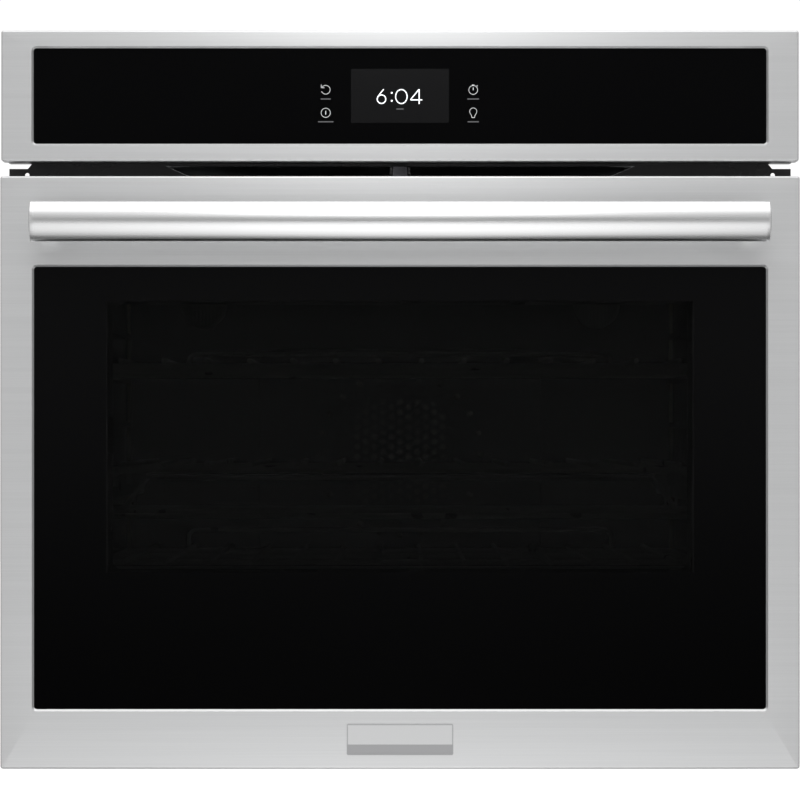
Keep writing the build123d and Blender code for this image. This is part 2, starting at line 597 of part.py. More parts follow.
with BuildPart() as receiver:
    span((HINGE_X - 10, HINGE_X + 10), (FACE_Y, -228), (SHEET, 42))
    span((HINGE_X - 6, HINGE_X + 6), (FACE_Y - 1, -230), (SHEET + 2, 43), Mode.SUBTRACT)
    along_x(-262, 13, 3.5, (HINGE_X - 10, HINGE_X + 10))
keep(on_both_sides(receiver.part), "hinge_receivers")

LUG = 9.0
with BuildPart() as arm:
    span((HINGE_X - 2, HINGE_X + 2), (HINGE_Y, -240), (16.5, 28))
    along_x(HINGE_Y, HINGE_Z, 9, (HINGE_X - 2, HINGE_X + 2))
    along_x(HINGE_Y + LUG, HINGE_Z + LUG, 3.4, (HINGE_X - 2, HINGE_X + 2))
    along_x(HINGE_Y, HINGE_Z, PIN_R + RUNNING, (HINGE_X - 3, HINGE_X + 3), Mode.SUBTRACT)
keep(on_both_sides(arm.part), "hinge_arms")

CHANNEL_Y = (-331.0, DOOR_BACK - SHEET)
SPRING_Y, SPRING_Z = -316.0, (112.0, 236.0)
with BuildPart() as channel:
    span((HINGE_X - 10, HINGE_X + 10), CHANNEL_Y, (9, 330))
    span((HINGE_X - 8.5, HINGE_X + 8.5), (CHANNEL_Y[0] + 1.5, 0), (0, 340), Mode.SUBTRACT)
    span((HINGE_X - 8.5, HINGE_X + 8.5), (CHANNEL_Y[0] + 1.5, CHANNEL_Y[1]), (110, 112))
    along_x(HINGE_Y, HINGE_Z, PIN_R, (HINGE_X - 12, HINGE_X + 12), Mode.SUBTRACT)
    with Locations((HINGE_X, SPRING_Y, 111)):
        Cylinder(3.2, 6, mode=Mode.SUBTRACT)
keep(on_both_sides(channel.part), "hinge_channels")

with BuildPart() as pin:
    along_x(HINGE_Y, HINGE_Z, PIN_R, (HINGE_X - 12, HINGE_X + 12))
    chamfer(pin.edges().filter_by(GeomType.CIRCLE), 0.6)
keep(on_both_sides(pin.part), "hinge_pins")

with BuildPart() as rod:
    with Locations((HINGE_X, SPRING_Y, 148)):
        Cylinder(2.2, 188)
    with Locations((HINGE_X, SPRING_Y, SPRING_Z[1] + 1.8)):
        Cylinder(7.6, 3)
keep(on_both_sides(rod.part), "spring_rods")

with BuildPart() as spring:
    turns, wire = 16, 1.1
    length = SPRING_Z[1] - SPRING_Z[0] - 2 * wire - 0.4
    with BuildLine(Plane((HINGE_X, SPRING_Y, SPRING_Z[0] + wire + 0.1))) as coil:
        Helix(pitch=length / turns, height=length, radius=6)
    with BuildSketch(Plane(origin=coil.line @ 0, z_dir=coil.line % 0)):
        Circle(wire)
    sweep(path=coil.line, is_frenet=True)
keep(on_both_sides(spring.part), "hinge_springs")

# ================================================================ door
EDGE_R = 2.0  # outer edge of the steel fronts
LIP = 3.0  # depth of the rolled lip round a window
SKIN_DEPTH = 22.0


def steel_front(y, z, depth, window_x, window_z):
    """A brushed steel front: a face with rolled edges, folded sides and a bevelled window."""
    with BuildPart() as face:
        plate((-HALF, HALF), z, (y, y + depth), 2.5)
        fillet(face.faces().sort_by(Axis.Y)[0].edges(), EDGE_R)
        inner_x, inner_z = HALF - SHEET, (z[0] + SHEET, z[1] - SHEET)
        plate((-inner_x, inner_x), inner_z, (y + SHEET, y + depth + 1), 1.5, Mode.SUBTRACT)
        lip_z = (window_z[0] - 9, window_z[1] + 9)
        plate((-window_x - 9, window_x + 9), lip_z, (y + SHEET / 2, y + LIP))
        plate((-window_x, window_x), window_z, (y - 1, y + LIP + 1), 3, Mode.SUBTRACT)
        rim = face.faces().sort_by(Axis.Y)[0].inner_wires()[0].edges()
        chamfer(rim, 1.8)
    return face.part


with BuildPart() as door_skin:
    add(steel_front(DOOR_FRONT, (DOOR_BOTTOM, DOOR_TOP), SKIN_DEPTH, SKIN_WINDOW_X, SKIN_WINDOW_Z))
    both((HINGE_X - 7, HINGE_X + 7), (-323, -315), (0, 10), Mode.SUBTRACT)
    for x in (-HANDLE_POST_X, HANDLE_POST_X):
        for z in (512, 530):
            along_y(x, z, 2.7, (DOOR_FRONT - 1, DOOR_FRONT + 3), Mode.SUBTRACT)
keep(door_skin.part, "door_skin")

GLASS_T = 4.0
OUTER_GLASS_Y = DOOR_FRONT + LIP
with BuildPart() as outer_glass:
    z = (SKIN_WINDOW_Z[0] - 8, SKIN_WINDOW_Z[1] + 8)
    plate((-SKIN_WINDOW_X - 8, SKIN_WINDOW_X + 8), z, (OUTER_GLASS_Y, OUTER_GLASS_Y + GLASS_T), 4)
keep(outer_glass.part, "outer_glass")

PLUG_X, PLUG_Z, PLUG_Y = 298.0, (84.0, 522.0), FACE_Y + 3.0
INNER_GLASS_Y = (PLUG_Y - SHEET - GLASS_T, PLUG_Y - SHEET)
FRAME_RING_X, FRAME_RING_Z = VIEW_X + 13, (VIEW_Z[0] - 13, VIEW_Z[1] + 13)

with BuildPart() as inner_glass:
    z = (VIEW_Z[0] - 9, VIEW_Z[1] + 9)
    plate((-VIEW_X - 9, VIEW_X + 9), z, INNER_GLASS_Y, 4)
keep(inner_glass.part, "inner_glass")

MIDDLE_GLASS_Y = (-315.0, -311.0)
with BuildPart() as middle_glass:
    x, z = FRAME_RING_X - 2.4, (FRAME_RING_Z[0] + 2.4, FRAME_RING_Z[1] - 2.4)
    plate((-x, x), z, MIDDLE_GLASS_Y, 3)
keep(middle_glass.part, "middle_glass")

with BuildPart() as glass_frame:
    y = (OUTER_GLASS_Y + GLASS_T, INNER_GLASS_Y[0])
    plate((-FRAME_RING_X, FRAME_RING_X), FRAME_RING_Z, y, 3)
    x, z = FRAME_RING_X - 2, (FRAME_RING_Z[0] + 2, FRAME_RING_Z[1] - 2)
    plate((-x, x), z, (y[0] - 1, y[1] + 1), 1.5, Mode.SUBTRACT)
    for lip_y in ((MIDDLE_GLASS_Y[0] - 1.3, MIDDLE_GLASS_Y[0] - 0.1), (MIDDLE_GLASS_Y[1] + 0.1, -309.7)):
        plate((-x - 0.5, x + 0.5), (z[0] - 0.5, z[1] + 0.5), lip_y)
        plate((-x + 8, x - 8), (z[0] + 8, z[1] - 8), lip_y, 2, Mode.SUBTRACT)
keep(glass_frame.part, "glass_frame")

LINER_X, LINER_Z = 372.0, (16.0, 561.0)
with BuildPart() as door_liner:
    plate((-LINER_X, LINER_X), LINER_Z, (DOOR_BACK - 19, DOOR_BACK), 5)
    fillet(door_liner.faces().sort_by(Axis.Y)[-1].edges(), 2.5)
    plate((-PLUG_X, PLUG_X), PLUG_Z, (DOOR_BACK - 1, PLUG_Y), 26)
    fillet(door_liner.faces().sort_by(Axis.Y)[-1].edges(), 5)
    x, z = LINER_X - SHEET, (LINER_Z[0] + SHEET, LINER_Z[1] - SHEET)
    plate((-x, x), z, (DOOR_BACK - 30, DOOR_BACK - SHEET), 4, Mode.SUBTRACT)
    x, z = PLUG_X - 2.4, (PLUG_Z[0] + 2.4, PLUG_Z[1] - 2.4)
    plate((-x, x), z, (DOOR_BACK - 30, PLUG_Y - SHEET), 24, Mode.SUBTRACT)
    plate((-VIEW_X, VIEW_X), VIEW_Z, (DOOR_BACK - 30, PLUG_Y + 5), 8, Mode.SUBTRACT)
    both((HINGE_X - 7, HINGE_X + 7), (DOOR_BACK - 20, DOOR_BACK + 1), (10, 38), Mode.SUBTRACT)
    both((HINGE_X - 11, HINGE_X + 11), (DOOR_BACK - 20, DOOR_BACK - SHEET), (10, 20), Mode.SUBTRACT)
keep(door_liner.part, "door_liner")

with BuildPart() as door_insulation:
    plate((-323, 323), (24, 552), (-329, DOOR_BACK - SHEET - 0.3), 10)
    fillet(door_insulation.edges().filter_by(Plane.XZ), 3)
    x, z = FRAME_RING_X + 1.5, (FRAME_RING_Z[0] - 1.5, FRAME_RING_Z[1] + 1.5)
    plate((-x, x), z, (-335, -295), 4, Mode.SUBTRACT)
keep(door_insulation.part, "door_insulation")

with BuildPart() as door_side_trims:
    both((LINER_X, HALF - SHEET), (-322, -318), (DOOR_BOTTOM + 8, DOOR_TOP - 8))
    both((LINER_X, LINER_X + 1.5), (-318, -304), (DOOR_BOTTOM + 16, DOOR_TOP - 12))
keep(door_side_trims.part, "door_side_trims")

with BuildPart() as door_top_trim:
    top = DOOR_TOP - SHEET
    span((-LINER_X, LINER_X), (-333, DOOR_BACK - SHEET), (LINER_Z[1], top))
    span((-LINER_X + 2, LINER_X - 2), (-331, DOOR_BACK - 3), (LINER_Z[1] - 1, top - 2), Mode.SUBTRACT)
    slots(Plane.XY.offset(top), (-190, -308), (30, 5), (8, 1), (40, 1))
    slots(Plane.XY.offset(top), (190, -308), (30, 5), (8, 1), (40, 1))
    span((-10, 10), (-316, -298), (LINER_Z[1] - 2, top + 2), Mode.SUBTRACT)
# Spot welded from a left, a middle and a right length.
trim_y, trim_z = (-346, -286), (LINER_Z[1] - 30, LINER_Z[1] + 30)
keep_lengths(door_top_trim.part, "door_top_trim", [
    ((-LINER_X, -10), trim_y, trim_z), ((-10, 10), trim_y, trim_z), ((10, LINER_X), trim_y, trim_z),
])

BADGE_X, BADGE_Z = 50.7, (17.3, 46.9)
with BuildPart() as name_plate:
    plate((-BADGE_X, BADGE_X), BADGE_Z, (DOOR_FRONT - 0.8, DOOR_FRONT), 1.5)
    x, z = BADGE_X - 1.2, (BADGE_Z[0] + 1.2, BADGE_Z[1] - 1.2)
    plate((-x, x), z, (DOOR_FRONT - 1, DOOR_FRONT - 0.5), 1, Mode.SUBTRACT)
keep(name_plate.part, "name_plate")

# ================================================================ handle
CREASE = (-395.3, 530.9)


def handle_outline():
    """The bar's section: a steep top bevel, a bowed front that curls under, and a flat back."""
    low, high = HANDLE_Z
    Polyline((HANDLE_BACK, low + 1.5), (HANDLE_BACK, high - 1.4), (HANDLE_BACK - 2, high),
             (-388.8, high), CREASE)
    ThreePointArc(CREASE, (-396.0, 520.0), (-390.2, low + 2.4))
    ThreePointArc((-390.2, low + 2.4), (-384.5, low), (HANDLE_BACK, low + 1.5))


with BuildPart() as handle_bar:
    bar_x = HANDLE_X - HANDLE_CAP
    for x, inset in ((bar_x - 0.5, 0), (bar_x, -0.4)):  # a fine groove before each end cap
        with BuildSketch(Plane.YZ.offset(-x)):
            with BuildLine():
                handle_outline()
            make_face()
            if inset:
                offset(amount=inset, kind=Kind.INTERSECTION, mode=Mode.REPLACE)
        extrude(amount=2 * x)
    with BuildSketch(Plane.YZ.offset(-HANDLE_X)):
        with BuildLine():
            handle_outline()
        make_face()
        offset(amount=-2.2, kind=Kind.INTERSECTION, mode=Mode.REPLACE)
    extrude(amount=2 * HANDLE_X, mode=Mode.SUBTRACT)
keep(handle_bar.part, "handle_bar")

with BuildPart() as handle_end:
    with BuildSketch(Plane.YZ.offset(HANDLE_X - HANDLE_CAP)):
        with BuildLine():
            handle_outline()
        make_face()
    extrude(amount=HANDLE_CAP)
    fillet(handle_end.faces().sort_by(Axis.X)[-1].edges(), 1.4)
    with BuildSketch(front(HANDLE_BACK)):
        with Locations((HANDLE_X - 11.5, 521)):
            RectangleRounded(20, 28, 4)
    extrude(amount=DOOR_FRONT - HANDLE_BACK, dir=(0, 1, 0))
    for z in (512, 530):
        along_y(HANDLE_POST_X, z, 2.5, (-358, DOOR_FRONT + 1), Mode.SUBTRACT)
keep(on_both_sides(handle_end.part), "handle_ends")

with BuildPart() as handle_screws:
    for x in (-HANDLE_POST_X, HANDLE_POST_X):
        for z in (512, 530):
            along_y(x, z, 2.5, (-357, DOOR_FRONT + SHEET))
            along_y(x, z, 5, (DOOR_FRONT + SHEET, DOOR_FRONT + 4.5))
            span((x - 3, x + 3), (DOOR_FRONT + 3, DOOR_FRONT + 6), (z - 0.6, z + 0.6), Mode.SUBTRACT)
            span((x - 0.6, x + 0.6), (DOOR_FRONT + 3, DOOR_FRONT + 6), (z - 3, z + 3), Mode.SUBTRACT)
keep(handle_screws.part, "handle_screws")

# ================================================================ control panel
PANEL_DEPTH = 14.0
keep(
    steel_front(PANEL_FRONT, (PANEL_BOTTOM, PANEL_TOP), PANEL_DEPTH, PANEL_WINDOW_X, PANEL_WINDOW_Z),
    "control_bezel",
)

CONTROL_GLASS_Y = (PANEL_FRONT + LIP, PANEL_FRONT + LIP + GLASS_T)
with BuildPart() as control_glass:
    z = (PANEL_WINDOW_Z[0] - 7, PANEL_WINDOW_Z[1] + 7)
    plate((-PANEL_WINDOW_X - 7, PANEL_WINDOW_X + 7), z, CONTROL_GLASS_Y, 4)
keep(control_glass.part, "control_glass")

TRAY_X, TRAY_Z = HALF - SHEET, (PANEL_BOTTOM + SHEET, PANEL_TOP - SHEET)
with BuildPart() as control_tray:
    plate((-TRAY_X, TRAY_X), TRAY_Z, (-326, FRAME_Y), 3)
    x, z = TRAY_X - SHEET, (TRAY_Z[0] + SHEET, TRAY_Z[1] - SHEET)
    plate((-x, x), z, (-330, FRAME_Y - SHEET), 2, Mode.SUBTRACT)
    span((-100, 100), (FRAME_Y - 3, FRAME_Y + 1), (625, 655), Mode.SUBTRACT)
    slots(front(FACE_Y), (0, 672), (60, 5), (8, 1), (80, 1))
keep(control_tray.part, "control_tray")

DISPLAY_Z = 645.0
with BuildPart() as display_module:
    y = CONTROL_GLASS_Y[1]
    plate((-52.5, 52.5), (DISPLAY_Z - 33, DISPLAY_Z + 33), (y, y + 6), 2)
    plate((-47, 47), (DISPLAY_Z - 26, DISPLAY_Z + 26), (y - 1, y + 0.4), 0, Mode.SUBTRACT)
    span((-14, 14), (y + 6, y + 7.5), (DISPLAY_Z - 33, DISPLAY_Z - 25))
keep(display_module.part, "display_module")

with BuildPart() as touch_board:
    y = -316.0
    plate((-135, 135), (606, 684), (y, y + 1.6), 3)
    for x, z, w, h, d in (
        (-95, 640, 18, 18, 2), (-60, 664, 30, 9, 8), (40, 640, 14, 14, 2), (70, 660, 26, 10, 8),
        (100, 622, 12, 20, 10), (-20, 625, 10, 6, 3), (0, 655, 22, 22, 2.5), (-110, 615, 9, 9, 6),
    ):
        span((x - w / 2, x + w / 2), (y + 1.6, y + 1.6 + d), (z - h / 2, z + h / 2))
    for x in (-128, 128):
        for z in (612, 678):
            along_y(x, z, 3, (y + 1.6, FRAME_Y - SHEET))
keep(touch_board.part, "touch_board")

# ================================================================ electrics above the cavity
with BuildPart() as power_board:
    span((40, 260), (10, 190), (586, 587.6))
    for x in (48, 252):
        for y in (18, 182):
            with Locations((x, y, (SHELF_Z + 586) / 2)):
                Cylinder(3, 586 - SHELF_Z)
    for n in range(6):  # relays
        x = 56 + 33 * n
        span((x, x + 27), (152, 174), (587.6, 605))
    span((60, 108), (40, 82), (587.6, 622))  # transformer
    span((130, 150), (30, 100), (587.6, 590))
    for x, y in ((170, 40), (190, 40), (210, 40)):
        with Locations((x, y, 598)):
            Cylinder(7, 20.8)
    for n in range(5):  # plug sockets
        span((60 + 38 * n, 86 + 38 * n), (112, 122), (587.6, 600))
keep(power_board.part, "power_board")

with BuildPart() as terminal_block:
    span((250, 330), (212, 244), (SHELF_Z, 590))
    for n in range(3):
        x = 264 + 26 * n
        span((x - 9, x + 9), (216, 240), (590, 591.2))
        with Locations((x, 228, 593)):
            Cylinder(4.5, 4)
    for x in (277, 303):
        span((x - 1.2, x + 1.2), (212, 244), (590, 600))
keep(terminal_block.part, "terminal_block")

GLAND_X, GLAND_Z, GLAND_R = 290.0, 630.0, 8.5
with BuildPart() as conduit_gland:
    along_y(GLAND_X, GLAND_Z, 11, (268, 296))
    with BuildSketch(front(296)):
        with Locations((GLAND_X, GLAND_Z)):
            RegularPolygon(16, 6)
    extrude(amount=296 - BACK_Y)
    with BuildSketch(front(INNER_BACK)):
        with Locations((GLAND_X, GLAND_Z)):
            RegularPolygon(15, 6)
    extrude(amount=5)
    along_y(GLAND_X, GLAND_Z, GLAND_R, (260, 300), Mode.SUBTRACT)
keep(conduit_gland.part, "conduit_gland")
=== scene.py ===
# %% [markdown]
# # A 30 inch built-in wall oven
# A lesson in dressing a finished mechanical model. The steel, glass, wire and enamel parts
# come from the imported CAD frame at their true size, in metres, with +X to the viewer's right,
# +Y towards the back of the cabinet and +Z up. Blender adds the finishes, the soft parts, the
# springs and what is printed on the glass.

# %% Load the frame and keep its box
import math

import bmesh
import bpy
import numpy as np
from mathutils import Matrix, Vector, noise


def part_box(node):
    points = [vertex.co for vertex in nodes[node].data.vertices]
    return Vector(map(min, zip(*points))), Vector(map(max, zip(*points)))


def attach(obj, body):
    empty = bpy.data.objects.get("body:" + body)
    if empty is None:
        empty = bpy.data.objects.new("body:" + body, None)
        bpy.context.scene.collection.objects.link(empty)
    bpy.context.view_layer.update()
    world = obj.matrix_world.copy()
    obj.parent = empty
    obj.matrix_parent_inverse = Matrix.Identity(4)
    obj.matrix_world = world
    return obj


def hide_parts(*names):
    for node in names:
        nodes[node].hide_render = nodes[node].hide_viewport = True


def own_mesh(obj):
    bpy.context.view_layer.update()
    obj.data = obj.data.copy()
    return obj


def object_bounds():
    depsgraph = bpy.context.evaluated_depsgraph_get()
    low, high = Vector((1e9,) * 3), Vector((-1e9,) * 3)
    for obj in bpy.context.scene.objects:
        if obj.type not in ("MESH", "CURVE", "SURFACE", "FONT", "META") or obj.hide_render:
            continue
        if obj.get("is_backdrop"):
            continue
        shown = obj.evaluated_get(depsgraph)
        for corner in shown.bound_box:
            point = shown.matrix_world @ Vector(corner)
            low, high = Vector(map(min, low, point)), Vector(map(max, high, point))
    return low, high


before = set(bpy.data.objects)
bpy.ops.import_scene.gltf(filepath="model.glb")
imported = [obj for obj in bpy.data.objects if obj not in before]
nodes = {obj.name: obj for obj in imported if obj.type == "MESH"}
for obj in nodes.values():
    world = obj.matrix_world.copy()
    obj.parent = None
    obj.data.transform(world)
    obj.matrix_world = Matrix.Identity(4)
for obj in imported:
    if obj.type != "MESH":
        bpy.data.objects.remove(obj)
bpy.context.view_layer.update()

# %% [markdown]
# ## Camera
# The oven is looked at squarely, as in a catalogue: a long lens, at the height of the middle of
# the window, so that vertical and horizontal edges stay straight. A small upward shift of the
# lens centres the front without tilting the camera.

# %% Camera
DOOR_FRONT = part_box("door_skin")[0].y
VIEW_DISTANCE, VIEW_HEIGHT, VIEW_WIDTH = 2.6, 0.325, 0.7622
camera = bpy.data.objects.new("camera", bpy.data.cameras.new("camera"))
bpy.context.scene.collection.objects.link(camera)
bpy.context.scene.camera = camera
camera.location = (0, DOOR_FRONT - VIEW_DISTANCE, VIEW_HEIGHT)
camera.rotation_euler = (math.radians(90), 0, 0)
camera.data.sensor_width = 36
camera.data.lens = 36 * VIEW_DISTANCE / VIEW_WIDTH
camera.data.shift_y = (0.3555 - VIEW_HEIGHT) / VIEW_WIDTH
camera.data.clip_end = 100
print("lens", round(camera.data.lens, 1), "mm")

# %% [markdown]
# ## Shader maths
# A finish is a formula: brushing is noise stretched along the grain, a speckle is noise cut off
# at a level. Writing those as node links by hand hides the formula, so a small class wraps a
# socket and lets Python's operators add the Math nodes. Colours go through Mix nodes, because a
# Math node would turn them grey.


# %% A socket that does arithmetic
class Value:
    """The output of a node. Arithmetic on it adds Math nodes to the same finish."""

    def __init__(self, finish, socket):
        self.finish, self.socket = finish, socket

    def _math(self, operation, *terms):
        return self.finish.node("Math", {"operation": operation}, dict(enumerate(terms)))

    def __add__(self, other):
        return self._math("ADD", self, other)

    def __sub__(self, other):
        return self._math("SUBTRACT", self, other)

    def __rsub__(self, other):
        return self._math("SUBTRACT", other, self)

    def __mul__(self, other):
        return self._math("MULTIPLY", self, other)

    def __gt__(self, other):
        return self._math("GREATER_THAN", self, other)

    def __lt__(self, other):
        return self._math("LESS_THAN", self, other)

    __radd__, __rmul__ = __add__, __mul__

    def sine(self):
        return self._math("SINE", self)

    def size(self):
        return self._math("ABSOLUTE", self)

    def most(self, other):
        return self._math("MAXIMUM", self, other)

    def ease(self, low, high):
        """0 below low, 1 above high, and a smooth step between."""
        settings = {"interpolation_type": "SMOOTHSTEP"}
        return self.finish.node("MapRange", settings, {"Value": self, "From Min": low, "From Max": high})


# %% A finish
class Finish:
    """A material with one Principled shader and a few ways to add detail to it."""

    def __init__(self, name, **uniform):
        self.material = bpy.data.materials.new(name)
        self.material.use_nodes = True
        self.tree = self.material.node_tree
        self.shader = self.tree.nodes["Principled BSDF"]
        for key, value in uniform.items():
            socket = self.shader.inputs[key.replace("_", " ")]
            socket.default_value = (*value, 1.0) if isinstance(value, tuple) else value
        self.place = self.node("TexCoord", output="Object")

    def node(self, kind, settings=None, inputs=None, output=0):
        """Adds a node: its settings are set first, then its inputs by name or number."""
        made = self.tree.nodes.new("ShaderNode" + kind)
        for key, value in (settings or {}).items():
            setattr(made, key, value)
        for key, value in (inputs or {}).items():
            if isinstance(value, Value):
                self.tree.links.new(value.socket, made.inputs[key])
            else:
                made.inputs[key].default_value = value
        return Value(self, made.outputs[output])

    def axis(self, letter):
        """One of the object's own coordinates, in metres."""
        return self.node("SeparateXYZ", inputs={0: self.place}, output=letter)

    def noise(self, scale, detail=2.0, stretch=None):
        """Noise between 0 and 1, scale features to the metre, stretched by a vector if given."""
        at = self.place
        if stretch:
            at = self.node("VectorMath", {"operation": "MULTIPLY"}, {0: at, 1: stretch})
        return self.node("TexNoise", inputs={"Vector": at, "Scale": scale, "Detail": detail})

    def mix(self, factor, first, second):
        """A colour between two colours."""
        first, second = ((*c, 1.0) if isinstance(c, tuple) else c for c in (first, second))
        return self.node("Mix", {"data_type": "RGBA"}, {0: factor, 6: first, 7: second}, output=2)

    def bump(self, height, distance):
        """A bump whose height runs over distance metres."""
        return self.node("Bump", inputs={"Height": height, "Distance": distance, "Strength": 1.0})

    def set(self, **inputs):
        """Feeds sockets of the shader with values that change over the surface."""
        for key, value in inputs.items():
            self.tree.links.new(value.socket, self.shader.inputs[key.replace("_", " ")])
        return self.material


def wear(obj, material):
    """Gives a CAD node or a new piece one finish all over."""
    obj.data.materials.clear()
    obj.data.materials.append(material)


def dress(material, *names):
    """Gives CAD nodes a finish."""
    for name in names:
        wear(nodes[name], material)
    print(material.name, "on", ", ".join(names))


# %% [markdown]
# ## Brushed stainless steel
# The fronts and the handle are stainless sheet, ground along its length with a fine belt. The
# belt leaves hairlines that run along X, much finer than they are long, so the finish is noise
# stretched two hundred times along X. It changes the roughness and the tone by a few percent
# only: from a step away the metal looks smooth and the light on it soft.


# %% Brushed steel
def brushed(name, tone, rough, stretch):
    """Ground steel with hairlines along the short component of stretch."""
    steel = Finish(name, Metallic=1.0, Anisotropic=0.45, Anisotropic_Rotation=0.25)
    fine = steel.noise(1.0, 3.0, stretch)
    broad = steel.noise(1.0, 2.0, tuple(v * 0.12 for v in stretch))
    lines = fine * 0.6 + broad * 0.4
    dark, light = (tuple(c * k for c in tone) for k in (0.975, 1.02))
    steel.set(Base_Color=steel.mix(lines.ease(0.3, 0.7), dark, light))
    steel.set(Roughness=lines * 0.08 + (rough - 0.04))
    return steel.set(Normal=steel.bump(fine, 0.000006))


front_steel = brushed("brushed_steel", (0.800, 0.805, 0.810), 0.36, (6.0, 1400.0, 1400.0))
handle_steel = brushed("handle_steel", (0.790, 0.792, 0.795), 0.28, (6.0, 1700.0, 1700.0))
dress(front_steel, "door_skin", "control_bezel")
dress(handle_steel, "handle_bar", "handle_ends")

# %% [markdown]
# ## Black and tinted glass
# The control glass is printed solid black on its back, so it shows nothing but its own gloss.
# The door's outer glass is tinted in the middle and printed black round the edge. Thin tinted
# glass is made with alpha rather than refraction: the racks behind stay in their places, and
# the cheap shader gives the same picture.

# %% Control glass
panel_black = Finish("panel_black_glass", Base_Color=(0.0025, 0.0025, 0.0027), IOR=1.45)
smear = panel_black.noise(9.0, 4.0)
dress(panel_black.set(Roughness=smear * 0.04 + 0.03), "control_glass")

# %% Door glass
tinted = Finish("tinted_glass", IOR=1.45)
view_low, view_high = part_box("glass_frame")
middle_z = (view_low.z + view_high.z) / 2
beyond_x = tinted.axis("X").size() - (view_high.x - 0.012)
beyond_z = (tinted.axis("Z") - middle_z).size() - (view_high.z - middle_z - 0.012)
printed = beyond_x.most(beyond_z).ease(-0.0015, 0.0015)
# The printed border is painted darker low down and paler towards the top. That is painted shade, not a
# change in the print.
height = tinted.axis("Z").ease(0.0, 0.5)
border_with_painted_shade = tinted.mix(height, (0.0010, 0.0010, 0.0011), (0.0046, 0.0046, 0.0048))
tinted.set(Base_Color=tinted.mix(printed, (0.0055, 0.0055, 0.0055), border_with_painted_shade))
tinted.set(Alpha=printed * 0.78 + 0.22)
dress(tinted.set(Roughness=tinted.noise(7.0, 4.0) * 0.03 + 0.02), "outer_glass")

# %% Clear glass
clear = Finish("clear_glass", Base_Color=(0.033, 0.035, 0.034), IOR=1.5, Alpha=0.08)
dress(clear.set(Roughness=clear.noise(12.0, 3.0) * 0.05 + 0.01), "middle_glass", "inner_glass")

# %% Lamp glass
lamp_glass = Finish("lamp_glass", Base_Color=(0.9, 0.9, 0.88), IOR=1.5, Alpha=0.35)
ribs = (lamp_glass.axis("X") * 1500.0).sine()
lamp_glass.set(Normal=lamp_glass.bump(ribs, 0.0002))
dress(lamp_glass.set(Roughness=lamp_glass.noise(60.0) * 0.1 + 0.05), "lamp_lenses", "lamp_bulbs")

# %% [markdown]
# ## Enamel
# The cavity and the black sheet round it are coated with fused glass. The cavity's grey-blue
# enamel has fine pale specks, which hide stains; the mounting frame and the door's back are plain
# black. Both have the slight ripple of a glaze that was wet once, so both get a soft bump.


# %% Enamel
def enamel(name, base, fleck, share, rough):
    """A fused glass coat with flecks on about that share of it."""
    coat = Finish(name, IOR=1.52)
    specks = coat.noise(900.0, 1.0).ease(1.0 - share, 1.03 - share)
    coat.set(Base_Color=coat.mix(specks, base, fleck))
    coat.set(Roughness=coat.noise(14.0, 3.0) * 0.12 + rough)
    return coat.set(Normal=coat.bump(coat.noise(160.0), 0.00012))


black_enamel = enamel("black_enamel", (0.012, 0.012, 0.013), (0.03, 0.03, 0.03), 0.28, 0.22)
cavity_enamel = enamel("cavity_enamel", (0.016, 0.017, 0.021), (0.12, 0.13, 0.15), 0.30, 0.16)
# The control tray also wears this black as painted shade: it fills the shadowed gap under the control
# panel.
dress(black_enamel, "front_frame", "door_liner", "door_side_trims", "door_top_trim", "control_tray")
dress(cavity_enamel, "cavity_liner", "fan_cover")

# %% [markdown]
# ## Galvanised sheet
# The casing is never seen once the oven is in its cabinet, so it is bare galvanised sheet. Zinc
# freezes in flat crystals a centimetre or so across, each turned its own way, so each has its own
# grey and its own gloss. A Voronoi pattern gives such a field of cells.

# %% Galvanised sheet
zinc = Finish("galvanised_sheet", Metallic=0.9)
at = zinc.node("VectorMath", {"operation": "ADD"}, {0: zinc.place, 1: (0.37, 0.61, 0.23)})
cells = zinc.node("TexVoronoi", inputs={"Vector": at, "Scale": 75.0}, output="Color")
crystal = zinc.node("SeparateXYZ", inputs={0: cells}, output="X")
cloud = zinc.noise(5.0, 4.0)
zinc.set(Base_Color=zinc.mix(crystal * 0.7 + cloud * 0.3, (0.40, 0.41, 0.42), (0.60, 0.61, 0.62)))
zinc.set(Normal=zinc.bump(zinc.noise(300.0, 2.0), 0.00004))
galvanised = zinc.set(Roughness=crystal * 0.22 + cloud * 0.1 + 0.30)
dress(
    galvanised, "base_pan", "side_panel_left", "side_panel_right", "top_cover", "rear_cover",
    "compartment_shelf", "blower_housing", "air_duct", "hinge_receivers",
)


# %% [markdown]
# ## Plain steel, plated wire and heating elements
# Small mechanical parts are satin steel or zinc plated. The racks are plated wire, bright but
# faintly yellowed by heat. The elements are alloy tubes, oxidised to a dark matte skin.


# %% Metals
def metal(name, dark, light, rough, patch, metallic=1.0, grain=0.00003):
    """Metal whose tone and gloss drift in patches, patch of them to the metre."""
    skin = Finish(name, Metallic=metallic)
    drift = skin.noise(patch, 4.0)
    skin.set(Base_Color=skin.mix(drift.ease(0.3, 0.7), dark, light))
    skin.set(Roughness=skin.noise(patch * 4.0, 3.0) * 0.16 + (rough - 0.08))
    return skin.set(Normal=skin.bump(skin.noise(1500.0, 2.0), grain))


